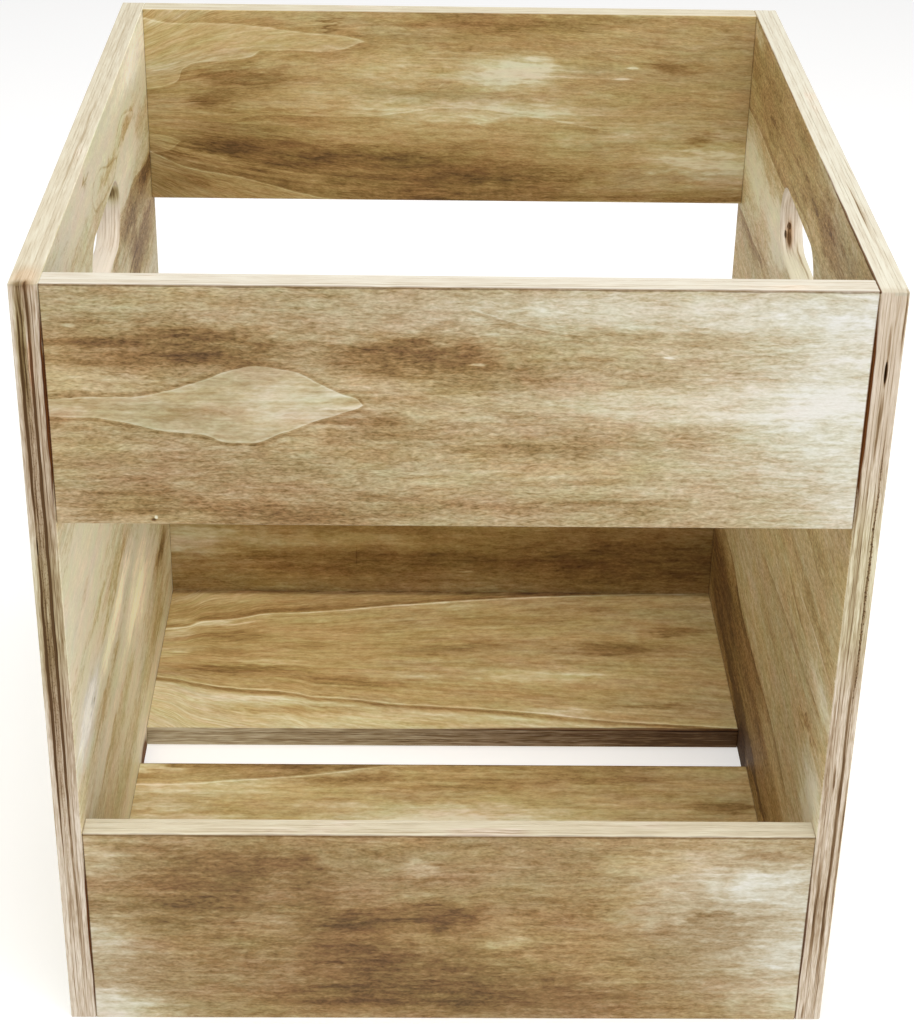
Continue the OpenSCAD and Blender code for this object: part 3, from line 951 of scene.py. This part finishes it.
def wash_right_side(wash):
    border = (
        (-190, 330), (-60, 337), (-38, 339), (-28, 343), (-2, 342),
        (28, 339), (49, 335), (66, 334), (103, 334), (178, 331))
    wash.beyond(border, 0.12, 2.0)
    wash.line(border[2:], 0.9, -0.16, 0.22, 6.0, 10)
    wash.line(((84, 277), (107, 276), (133, 273), (154, 273), (178, 271)), 0.9, -0.10, 0.34, -13.0, 14)
    wash.line(((-185, 189), (-130, 187), (-85, 183)), 1.3, -0.24, 0.14, 6.0, 10, 30)
    wash.line(((-130, 174), (-100, 172), (-60, 176)), 1.2, -0.14, 0.30, 5.0, 20, 20)
    wash.line(((-180, 164), (-100, 158), (-40, 151), (0, 145), (20, 142)), 1.2, -0.14, 0.20, -7.0, 20, 20)
    wash.line(
        ((-130, 78), (-60, 82), (0, 78), (50, 76), (110, 84), (160, 80)),
        1.2, -0.14, 0.34, -9.0, 30, 30)
    wash.beyond(((-190, 60), (-100, 66), (0, 70), (100, 74), (180, 74)), 0.30, -12.0)
    wash.line(((-150, 215), (-60, 222), (30, 212), (120, 218)), 1.2, -0.08, 0.16, 7.0, 30, 40)
    # Painted shade: the clouds at (146, 46) and (130, 50) deepen the rear lower corner, and those at (17, 4)
    # and (20, 14) darken the foot seen through the gap between the base boards
    wash.clouds(
        (-50, 345, 110, 6, -0.06), (-60, 360, 90, 14, 0.18), (-70, 380, 110, 9, -0.20),
        (55, 305, 56, 36, -0.30), (150, 300, 70, 40, -0.12), (-90, 272, 150, 34, 0.14),
        (0, 222, 130, 60, 0.20), (40, 172, 60, 24, 0.20), (90, 140, 60, 30, 0.12), (30, 72, 150, 12, 0.30),
        (140, 72, 40, 10, 0.10), (90, 25, 90, 12, -0.14), (110, 362, 120, 28, 0.14), (95, 353, 20, 5, 0.30),
        (-10, 378, 80, 6, 0.20), (100, 345, 34, 6, 0.16), (168, 377, 44, 9, -0.30), (19, 361, 16, 4, 0.22),
        (-8, 364, 14, 3, 0.20), (-39, 359, 18, 4, 0.20), (-40, 349, 40, 7, -0.16), (-66, 376, 18, 4, 0.24),
        (-75, 364, 20, 5, 0.22), (-77, 351, 20, 4, 0.18), (-12, 352, 16, 3, 0.18), (-107, 368, 16, 4, 0.14),
        (-131, 371, 14, 4, 0.10), (-20, 120, 70, 12, 0.12), (-20, 58, 70, 12, 0.14),
        (146, 46, 76, 36, 0.10), (60, 52, 120, 26, 0.18), (-40, 25, 60, 6, 0.28), (90, 24, 90, 7, 0.26),
        (17, 4, 26, 16, 0.45), (130, 308, 130, 26, -0.28), (40, 312, 50, 22, -0.10),
        (110, 279, 46, 3.6, 0.14), (145, 266, 50, 10, 0.06), (182, 268, 16, 12, -0.10),
        (-140, 225, 70, 10, 0.10), (-130, 196, 90, 6, 0.20), (-165, 172, 56, 12, -0.24),
        (-175, 112, 56, 40, -0.34), (-146, 141, 36, 3, 0.36, -14.0), (-125, 132, 24, 3, 0.22),
        (-80, 128, 26, 3, 0.20), (0, 112, 150, 20, -0.06), (60, 26, 170, 16, 0.30),
        (130, 50, 110, 40, 0.14), (20, 14, 60, 26, 0.30))
    wash.tones(
        (70, 360, 230, 36, 1.1), (120, 306, 120, 30, 0.3), (-80, 366, 90, 22, -0.3),
        (-165, 125, 36, 24, -0.25))
    wash.flecks((100, 271, 10, 1.2, -0.30))
    # The first streak pales the hand hole's walls, painted light from outside the hole; the streaks at (49.6,
    # 313.4) and (-190, 348) darken the ply voids, partly the wood's own dark and partly painted shade in the
    # pockets
    wash.streaks(
        (0, 321, 0, 66, 32, 60, -0.38, 3.0), (45, 308, 1.0, 16, 16, 3.6, 0.40, 1.6),
        (45, 308.5, 1.4, 9, 9, 2.6, 0.55, 2.0), (49.6, 313.4, 1.1, 4, 4, 1.6, 0.60, 1.6),
        (51, 322, 1.0, 30, 22, 5.0, 0.16), (20, 304, -2.6, 50, 6, 0.9, 0.46, 3.0),
        (20, 304, -0.4, 40, 6, 2.4, 0.16, 2.0), (-190, 192, 0, 7, 330, 60, 0.20, 2.5),
        (-190, 130, 4.4, 7, 110, 1.2, 0.24), (-190, 60, 0.2, 7, 60, 1.4, 0.20),
        (-190, 30, 0.0, 7, 60, 60, 0.05), (-190, 245, 1.6, 7, 60, 2.0, 0.12),
        (-190, 384, 0, 7, 60, 60, 0.06, 2.5), (-190, 240, -3.1, 7, 92, 0.8, 0.34, 5.0),
        (-190, 110, -2.1, 7, 130, 0.9, 0.60, 5.0), (-190, 348, 0.1, 7, 8, 0.9, 0.95, 4.0),
        (-190, 322, 0.6, 7, 26, 0.9, 0.60), (-190, 332, -0.2, 7, 16, 0.6, 0.40),
        (-190, 361, 0.0, 7, 13, 1.0, 0.44), (-190, 143, 1.1, 7, 12, 0.7, 0.70),
        (-190, 66, 2.2, 7, 46, 1.3, 0.50), (-190, 4, 2.6, 7, 8, 1.0, 0.40),
        (-190, 100, -5.2, 7, 80, 0.8, 0.50), (-190, 220, 3.4, 7, 40, 1.4, 0.16),
        (-190, 280, 5.0, 7, 40, 0.7, 0.30), (-190, 372, -4.9, 7, 24, 0.7, 0.55),
        (-100, 384, -0.6, 44, 7, 0.6, 0.62), (-120, 384, -1.6, 60, 7, 2.0, 0.16),
        (-50, 384, -4.8, 20, 7, 0.5, 0.30))
    wash.speckles((-190, 245, -3.1, 7, 86, 1.0, 1.0))
    # The first fades the plies of the hand hole's walls, painted light that washes them out
    wash.fade_plies((0, 321, 0, 70, 34, 60, 0.6), (-190, 352, 0.0, 7, 60, 60, 0.5))
    wash.rusts(
        (46, 309, 1.0, 16, 14, 4.0, 0.35), (0, 300, 0.0, 90, 16, 60, -0.5),
        (-190, 245, 0.0, 7, 74, 60, -0.6))
    # Painted shade on the foot seen through the base gap and along the inner top arris, which faces away from
    # the light, and the dark joints with the slats, partly painted shade
    wash.joints(
        (17, 6, 6.0, 26, 26, 3.0, 0.6), (-190, 330, 5.6, 2.0, 66, 1.1, 1.0),
        (-190, 40, 6.0, 2.0, 66, 0.8, 0.8), (-150, 384, 6.0, 150, 1.6, 0.9, 0.85),
        (100, 384, 6.0, 150, 1.4, 0.8, 0.35))


BACK_FLOW = (
    ((-168, 342), (-120, 350), (-50, 352), (60, 350), (168, 346)),
    ((-168, 302), (-140, 294), (-100, 286), (-65, 280), (0, 276), (60, 274), (168, 276)))
BASE_FLOW = (REAR_LINE, FORE_LINE)

# A board's place in the noise, the stain of its seen face, how golden it is, the stain of its sawn edges, how
# far its clouds are brushed along the grain, how crisp and how thick its fibres are, what its top multiplies
# the colour by (painted light that offsets the brighter, warmer light on tops), its wash, and the outlines
# that its grain follows
BoardLook = namedtuple("BoardLook", "seed stain warmth edge brushed crisp thick top_tint wash flow")
LOOKS = {name: BoardLook(*row) for name, row in {
    "front_upper_slat": (
        3, 0.47, 0.10, 0.05, 44.0, 1.55, 1.05, (0.86, 0.905, 0.915, 1), wash_front_upper, None),
    "front_lower_slat": (
        11, 0.62, 0.20, 0.12, 16.0, 1.0, 1.35, (0.96, 1.01, 0.95, 1), wash_front_lower, None),
    "back_upper_slat": (
        19, 0.40, 0.85, 0.10, 36.0, 0.9, 1.3, (0.88, 0.925, 0.86, 1), wash_back_upper, BACK_FLOW),
    "back_lower_slat": (
        27, 0.60, 0.80, 0.20, 36.0, 0.8, 1.3, (0.94, 0.98, 0.93, 1), wash_back_lower, None),
    "rear_base_board": (
        35, 0.455, 0.85, 0.42, 36.0, 0.62, 2.1, (1.0, 1.0, 1.0, 1), wash_rear_base, BASE_FLOW),
    "front_base_board": (
        43, 0.42, 0.85, 0.40, 36.0, 0.75, 1.55, (1.0, 1.0, 1.0, 1), wash_front_base, None),
    "left_side_panel": (
        51, 0.14, 0.75, 0.13, 50.0, 1.7, 1.25, (0.88, 0.93, 0.89, 1), wash_left_side, None),
    "right_side_panel": (
        59, 0.335, 0.65, 0.05, 50.0, 1.9, 1.15, (0.89, 0.955, 0.95, 1), wash_right_side, None),
}.items()}
# Noises in the boards: the size of their grains along, across and through the board, then amount, detail and
# roughness
GRAINS = {
    "ripple": ((13, 4, 1), 1.3, 1.0, 0.5),
    "drift": ((80, 24, 1), 5.0, 1.0, 0.5),
    "waver": ((6, 3.5, 1), 1.6, 1.0, 0.5),
    "fibre": ((3.2, 0.9, 1), 1.0, 1.0, 0.5),
    "hair": ((1.5, 0.5, 1), 1.0, 1.0, 0.5),
    "fleck": ((7, 1.5, 1), 1.0, 2.0, 0.6),
    "streak": ((60, 3.0, 1), 0.40, 2.0, 0.6),
    "mottle": ((18, 6, 1), 0.48, 3.0, 0.6),
    "patch": ((130, 36, 1), 1.0, 2.0, 0.5),
    "blot": ((12, 6, 2), 1.0, 2.0, 0.6),
    "brush": ((50, 3.0, 1), 1.0, 2.0, 0.6),
    "fray": ((30, 9, 1), 10.0, 2.0, 0.5),
    "warp": ((22, 22, 9), 1.2, 1.0, 0.5),
    "speck": ((0.5, 1.3, 0.6), 1.0, 1.0, 0.5),
    "rings": ((210, 44, 1), 6.0, 1.0, 0.5),
    "long ply": ((14, 7, 0.36), 1.0, 2.0, 0.5),
    "cross ply": ((7, 16, 0.36), 1.0, 2.0, 0.5),
    "glue": ((16, 16, 2.2), 1.5, 2.0, 0.5),
    "smudge": ((16, 46, 1.1), 0.7, 2.0, 0.5),
    "saw": ((40, 40, 2.4), 0.26, 2.0, 0.5),
    "hue": ((24, 9, 1), 0.9, 2.0, 0.6),
    "cast": ((46, 14, 3), 1.8, 2.0, 0.5),
}
# How far apart the patterns of a board's two faces lie in the noise
SIDE_SHIFT = 17.0
# Depths from a board's middle where its face begins, and heights under its top where the top begins
FACE_EDGE = (5.60, 5.92)
TOP_EDGE = (1.4, 0.5)
# How far the blots push the clouds along and across the grain
BLOT_ALONG, BLOT_ACROSS = 24.0, 9.0
# The specks' noise from clear to dark
SPECK_RANGE = (0.02, 0.16)
# The growth rings: where in a ring its pale line lies, the line's strength and that of the shade behind it
RING_LINE = (0.93, 1.0)
RING_PALE, RING_SHADE = -0.16, 0.10
# The plies: depths of the glue lines from the middle, their reach, their share that shows, and how much stain
# they and the cross plies add
PLY_INNER, PLY_OUTER = 1.5, 3.0
GLUE_REACH = (0.30, 0.06)
GLUE_SHARE = 0.30
GLUE_SHADE, CROSS_SHADE = 0.60, 0.05
# How much fainter the plies are on a top
TOP_CALM = 0.6
# Share of the fleck in the face's stain and in its gloss
FLECK_STAIN, FLECK_GLOSS = 0.46, 0.25
# The patches' shares: where rings show, in the unseen face's stain, and in the golden tone
PATCH_FIGURE, PATCH_STAIN, PATCH_GOLD = 4.0, 1.2, 1.4
UNSEEN_FIGURE = 0.7
# How much lighter than the palest stop bare wood may get
BARE_GAIN = 0.7
BLOT_CAST = 0.9
# The fibres' contrast: what they have on bare wood, what stain adds, and the shares of fibre and hair
CRISP_BARE, CRISP_STAIN = 0.16, 1.6
FIBRE_SHARE, HAIR_SHARE = 0.72, 0.50
# Roughness of the bare wood, and what dark joints and painted shade add
WOOD_ROUGH, GAP_ROUGH = 0.62, 0.35
WOOD_SHINE = 0.25
# The finest relief: how high the face stands above its pores, the strength and the distance
FACE_LEVEL, RELIEF, RELIEF_REACH = 0.6, 0.35, 0.25 * MM


def wood_noise(finish, kind, point, thick=1.0):
    """One of the boards' noises, with its grains made thicker across the board."""
    (along, across, through), amount, detail, rough = GRAINS[kind]
    return finish.grain(point, (along, across * thick, through), detail, rough) * amount


def board_axes(finish, board):
    """A board's places in millimetres: along its grain, across it, and from its middle to its seen face."""
    low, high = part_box(board.node)
    thin = axis_index(board.thin)
    along = axis_index(board.grain)
    scale = [1 / MM] * 3
    shift = [0.0] * 3
    scale[thin] = board.seen / MM
    shift[thin] = -board.seen * (low[thin] + high[thin]) / 2 / MM
    split = finish.add("ShaderNodeSeparateXYZ", {}, {0: finish.crate(scale, shift)})
    return [Term(finish, split.socket.node.outputs[axis]) for axis in (along, 3 - along - thin, thin)]


def ring_contours(finish, plane, amount):
    """Faint growth rings of the veneer: a pale line, and a shade that fades behind it."""
    rings = wood_noise(finish, "rings", plane)
    ring = rings.maths("FRACT", rings)
    return (ring.rising(*RING_LINE) * RING_PALE + ring * ring * ring * RING_SHADE) * amount


def sawn_plies(finish, solid, gap, top, smooth):
    """The plies and glue lines of a sawn edge, as its stain and as its relief."""
    cross = (gap > PLY_INNER) * (PLY_OUTER - gap > 0.0)
    long_ply = wood_noise(finish, "long ply", solid)
    cross_ply = wood_noise(finish, "cross ply", solid)
    wood = long_ply + cross * (cross_ply - long_ply)
    line_gap = abs(gap - PLY_OUTER).least(abs(gap - PLY_INNER))
    glue = line_gap.rising(*GLUE_REACH) * (wood_noise(finish, "glue", solid) + GLUE_SHARE).limited()
    stain = wood + wood_noise(finish, "smudge", solid) + cross * CROSS_SHADE + glue * GLUE_SHADE
    stain = stain * (1.0 - top * TOP_CALM) + wood_noise(finish, "saw", solid)
    return stain * (1.0 - smooth), (wood - glue) * (1.0 - smooth)


def board_material(board):
    """Plywood with a brown wash: veneer on the two faces, plies and glue lines on the sawn edges."""
    look = LOOKS[board.node]
    finish = Finish(board.node + "_plywood")
    u, v, w = board_axes(finish, board)
    seen = w > 0.0
    layer = seen * SIDE_SHIFT + look.seed
    flat = finish.combine(u, v, layer)
    level = v + wood_noise(finish, "ripple", flat)
    v = level + wood_noise(finish, "drift", flat)
    wash = Wash(finish, board, u, v)
    run = wash.along_flow(*look.flow) if look.flow else v
    plane = finish.combine(u, run, layer)
    wavy = finish.combine(u, run + wood_noise(finish, "waver", plane), layer)
    fibre = wood_noise(finish, "fibre", wavy, look.thick)
    hair = wood_noise(finish, "hair", wavy, look.thick)
    fleck = wood_noise(finish, "fleck", wavy, look.thick)
    patch = wood_noise(finish, "patch", plane)
    blot = wood_noise(finish, "blot", plane)
    brushed = wood_noise(finish, "brush", plane) * look.brushed + blot * BLOT_ALONG
    frayed = v + wood_noise(finish, "fray", plane) + blot * BLOT_ACROSS
    wash.ragged = finish.combine(u + brushed, frayed, 0.0)
    depth = w + wood_noise(finish, "warp", finish.combine(u, v, w))
    wash.solid = finish.combine(u, v, depth)
    wash.seam = finish.combine(u, level, depth)
    wash.speck = wood_noise(finish, "speck", wash.solid).rising(*SPECK_RANGE)
    look.wash(wash)
    figured = (patch * PATCH_FIGURE).limited() + (1.0 - seen) * UNSEEN_FIGURE
    streaked = fleck * FLECK_STAIN + wood_noise(finish, "streak", plane) + wood_noise(finish, "mottle", plane)
    face = streaked + ring_contours(finish, plane, figured)
    face = face + seen * (wash.face + look.stain) + (1.0 - seen) * (patch * PATCH_STAIN + look.stain)
    gap = abs(w)
    top = 0.0 if board.thin == "Z" else v.rising(wash.top - TOP_EDGE[0], wash.top - TOP_EDGE[1])
    plies, cut = sawn_plies(finish, wash.solid, gap, top, wash.smooth)
    edge = plies + wash.edge + look.edge
    on_face = gap.rising(*FACE_EDGE)
    soaked = edge + on_face * (face - edge)
    stain = soaked.limited()
    bare = soaked.rising(0.0, -1.0) * BARE_GAIN + 1.0
    warm = seen * wash.warmth
    golden = patch * PATCH_GOLD + wood_noise(finish, "hue", plane) + look.warmth + warm
    warmth = (golden * on_face).limited()
    grey = finish.add("ShaderNodeValToRGB", {"stops": GREYISH}, {"Fac": stain})
    gold = finish.add("ShaderNodeValToRGB", {"stops": GOLDEN}, {"Fac": stain})
    sawn = finish.add("ShaderNodeValToRGB", {"stops": SAWN}, {"Fac": stain})
    cast = ((blot * BLOT_CAST + wood_noise(finish, "cast", plane)) * on_face + 0.5).limited()
    face_tint = finish.mix((warm * -1.0).limited(), finish.mix(cast, PINK_TINT, GREEN_TINT), COOL_TINT)
    # Painted light: tops take a darker, cooler tint that offsets the brighter, warmer light falling on them
    sawn_tint = finish.mix(wash.blush, finish.mix(top, WHITE, look.top_tint), RUST_TINT)
    sawn_tint = finish.mix(wash.blush * -1.0, sawn_tint, MOSS_TINT)
    tint = finish.mix(on_face, sawn_tint, face_tint)
    crisp = (stain * CRISP_STAIN + CRISP_BARE) * on_face * look.crisp * (1.0 - seen * wash.still)
    contrast = (fibre * FIBRE_SHARE + hair * HAIR_SHARE) * crisp + 0.5
    fibres = finish.mix(contrast, FIBRE_PALE, FIBRE_DARK)
    # Dark joints and painted shade: darkens the colour at joints, gaps, shaded corners and shaded arrises
    dark_joint_and_shade = (seen * wash.gap).limited()
    dark_joint_and_shade_tint = finish.mix(dark_joint_and_shade, WHITE, JOINT_AND_SHADE_DARK)
    colour = finish.mix(on_face, sawn, finish.mix(warmth, grey, gold))
    for layer_tint in (tint, fibres, dark_joint_and_shade_tint, bare):
        colour = finish.add("ShaderNodeVectorMath", {"operation": "MULTIPLY"}, {0: colour, 1: layer_tint})
    finish.shade("Base Color", colour)
    finish.shade("Roughness", fleck * FLECK_GLOSS + WOOD_ROUGH + dark_joint_and_shade * GAP_ROUGH)
    finish.shade("Specular IOR Level", WOOD_SHINE)
    height = (FACE_LEVEL - fibre - hair) * on_face + (1.0 - on_face) * cut
    finish.relief(height, RELIEF, RELIEF_REACH)
    return finish.material


def dress_board(board, bm, cutters):
    """Cuts the board's holes and puts it in its CAD node's place."""
    piece = link_mesh(bm, board.node + "_plywood")
    for cutter in cutters:
        carve(piece, cutter)
    drop_slivers(piece)
    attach(piece, BODY)
    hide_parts(board.node)
    piece.data.materials.append(board_material(board))
    return piece


class CRATE_OT_side_panels(bpy.types.Operator):
    """Make the two side panels with their hand holes"""
    bl_idname = "crate.side_panels"
    bl_label = "Side panels"

    def execute(self, context):
        settings = context.scene.crate_boards
        for name, side in (("left_side_panel", -1), ("right_side_panel", 1)):
            board = BOARDS[name]
            low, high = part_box(name)
            ply = high.x - low.x
            passages = bmesh.new()
            add_passages(passages, side, ply)
            voids = bmesh.new()
            add_voids(voids, name)
            cutters = [passages, hand_cutter(side, ply, settings), voids]
            dress_board(board, board_blank(board, settings), cutters)
        return {"FINISHED"}


class CRATE_OT_cross_members(bpy.types.Operator):
    """Make the four slats and the two base boards"""
    bl_idname = "crate.cross_members"
    bl_label = "Slats and base boards"

    def execute(self, context):
        settings = context.scene.crate_boards
        low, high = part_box("left_side_panel")
        for name, member in CROSS_MEMBERS.items():
            board = BOARDS[name]
            pilots = bmesh.new()
            add_pilots(pilots, member, high.x - low.x)
            dress_board(board, board_blank(board, settings), [pilots])
        return {"FINISHED"}


# Grains of the zinc's bloom and rubbing marks, and of the beech's bands, flecks and pores, in millimetres
ZINC_BLOOM, ZINC_RUBBING = (2.2, 2.2, 2.2), (0.7, 0.12, 0.5)
BEECH_BANDS, BEECH_FLECKS, BEECH_PORES = (60, 2.4, 2.4), (2.4, 0.35, 0.35), (0.9, 0.15, 0.15)
# The flecks' noise from clear to dark
FLECK_RANGE = (0.10, 0.20)


def steel_material(settings):
    """Bright zinc on steel, faintly yellow and blue in turns, with fine rubbing marks."""
    finish = Finish("zinc_steel")
    crate = finish.crate()
    bloom = finish.grain(crate, ZINC_BLOOM)
    rubbed = finish.grain(crate, ZINC_RUBBING)
    yellow = (*settings.zinc_yellow, 1.0)
    blue = (*settings.zinc_blue, 1.0)
    finish.shade("Base Color", finish.mix((bloom * 2.4 + 0.5).limited(), yellow, blue))
    finish.shade("Metallic", 1.0)
    finish.shade("Roughness", rubbed * 0.5 + bloom * 0.3 + 0.34)
    finish.relief(rubbed, 0.25, 0.04 * MM)
    return finish.material


def beech_material(settings):
    """Bare beech with its short brown flecks along the dowel and finer pores between them."""
    finish = Finish("bare_beech")
    crate = finish.crate()
    bands = finish.grain(crate, BEECH_BANDS)
    flecks = finish.grain(crate, BEECH_FLECKS, 1.0).rising(*FLECK_RANGE)
    pores = finish.grain(crate, BEECH_PORES, 1.0)
    pale = (*settings.beech_pale, 1.0)
    brown = (*settings.beech_brown, 1.0)
    browned = (bands * 1.4 + flecks * 0.5 + pores * 0.5 + 0.25).limited()
    finish.shade("Base Color", finish.mix(browned, pale, brown))
    finish.shade("Roughness", pores * 0.3 + 0.68)
    finish.shade("Specular IOR Level", 0.3)
    finish.relief(1.0 - flecks - pores, 0.3, 0.08 * MM)
    return finish.material


def dress_nodes(ending, material):
    """Gives a finish to the CAD nodes of every cross member whose names end alike."""
    for member in CROSS_MEMBERS.values():
        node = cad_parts[member + ending]
        if not node.material_slots:
            raise RuntimeError(f"{node.name} has no material slot")
        for slot in node.material_slots:
            slot.material = material


class CRATE_OT_fixings(bpy.types.Operator):
    """Give the screws and the dowels their finishes"""
    bl_idname = "crate.fixings"
    bl_label = "Screws and dowels"

    def execute(self, context):
        settings = context.scene.crate_fixings
        dress_nodes("_screws", steel_material(settings))
        dress_nodes("_dowels", beech_material(settings))
        return {"FINISHED"}


# Each light's place, the side of its square, and its colour
LIGHTS = {
    "key": ((0.28, -0.28, 2.0), 1.5, (1, 0.98, 0.95)),
    "fill": ((1.45, -1.45, 0.85), 1.0, (1, 0.99, 0.97)),
    "left_fill": ((-1.2, -0.5, 1.6), 1.0, (1, 0.99, 0.97)),
}
LIGHT_TARGET = Vector((0, 0, 0.2))
FLOOR_HALF = 6.0
FLOOR_ROUGH = 0.8
WHITE_LIGHT = (1, 1, 1, 1)


def add_area_light(name, power):
    """Adds a large soft light that looks at the crate."""
    place, size, colour = LIGHTS[name]
    light = bpy.data.lights.new(name, "AREA")
    light.shape = "RECTANGLE"
    light.size, light.size_y = size, size
    light.energy = power
    light.color = colour
    lamp = bpy.data.objects.new(name, light)
    lamp.location = place
    lamp.rotation_euler = (LIGHT_TARGET - Vector(place)).to_track_quat("-Z", "Y").to_euler()
    bpy.context.scene.collection.objects.link(lamp)


def set_sockets(tree, node, values):
    """Sets a node's own values."""
    for name, value in values.items():
        tree.nodes[node].inputs[name].default_value = value


def add_floor(settings):
    """Adds the blown-out pale floor."""
    bm = bmesh.new()
    bmesh.ops.create_grid(bm, x_segments=1, y_segments=1, size=FLOOR_HALF)
    floor = link_mesh(bm, "floor")
    material = bpy.data.materials.new("pale_floor")
    material.use_nodes = True
    set_sockets(material.node_tree, "Principled BSDF", {
        "Base Color": (*settings.floor_colour, 1), "Roughness": FLOOR_ROUGH,
        "Emission Color": WHITE_LIGHT, "Emission Strength": settings.floor_glow})
    floor.data.materials.append(material)


def add_camera():
    """Adds the camera, with the fitted place, turn, lens and shift."""
    lens = bpy.data.cameras.new("camera")
    lens.sensor_width = SENSOR
    lens.lens = SENSOR * FOCAL_PIXELS / PICTURE_HEIGHT
    lens.shift_x = (PICTURE_WIDTH / 2 - AXIS_PIXEL[0]) / PICTURE_HEIGHT
    lens.shift_y = (AXIS_PIXEL[1] - PICTURE_HEIGHT / 2) / PICTURE_HEIGHT
    camera = bpy.data.objects.new("camera", lens)
    camera.location = CAMERA_PLACE
    camera.rotation_euler = [math.radians(a) for a in CAMERA_TURN]
    bpy.context.scene.collection.objects.link(camera)
    bpy.context.scene.camera = camera


class CRATE_OT_stage(bpy.types.Operator):
    """Make the floor, the lights and the camera"""
    bl_idname = "crate.stage"
    bl_label = "Stage"

    def execute(self, context):
        scene = context.scene
        settings = scene.crate_stage
        add_floor(settings)
        world = bpy.data.worlds.new("white_room")
        world.use_nodes = True
        set_sockets(world.node_tree, "Background", {"Color": WHITE_LIGHT, "Strength": settings.sky})
        scene.world = world
        for name in LIGHTS:
            add_area_light(name, getattr(settings, name + "_power"))
        add_camera()
        scene.view_settings.view_transform = "Standard"
        scene.view_settings.look = "None"
        return {"FINISHED"}


class CRATE_PT_sidebar(bpy.types.Panel):
    """The crate's settings and its operators"""
    bl_idname = "CRATE_PT_sidebar"
    bl_label = "Record crate"
    bl_space_type = "VIEW_3D"
    bl_region_type = "UI"
    bl_category = "Crate"

    def draw(self, context):
        layout = self.layout
        for group in (context.scene.crate_boards, context.scene.crate_fixings, context.scene.crate_stage):
            for name in group.__annotations__:
                layout.prop(group, name)
        for operator in OPERATORS:
            layout.operator(operator.bl_idname)


GROUPS = (BoardSettings, FixingSettings, StageSettings)
OPERATORS = (CRATE_OT_side_panels, CRATE_OT_cross_members, CRATE_OT_fixings, CRATE_OT_stage)


def register():
    for made in GROUPS + OPERATORS + (CRATE_PT_sidebar,):
        bpy.utils.register_class(made)
    bpy.types.Scene.crate_boards = bpy.props.PointerProperty(type=BoardSettings)
    bpy.types.Scene.crate_fixings = bpy.props.PointerProperty(type=FixingSettings)
    bpy.types.Scene.crate_stage = bpy.props.PointerProperty(type=StageSettings)


def unregister():
    del bpy.types.Scene.crate_stage
    del bpy.types.Scene.crate_fixings
    del bpy.types.Scene.crate_boards
    for made in reversed(GROUPS + OPERATORS + (CRATE_PT_sidebar,)):
        bpy.utils.unregister_class(made)


def main():
    register()
    bpy.ops.crate.side_panels()
    bpy.ops.crate.cross_members()
    bpy.ops.crate.fixings()
    bpy.ops.crate.stage()


if __name__ == "__main__":
    main()
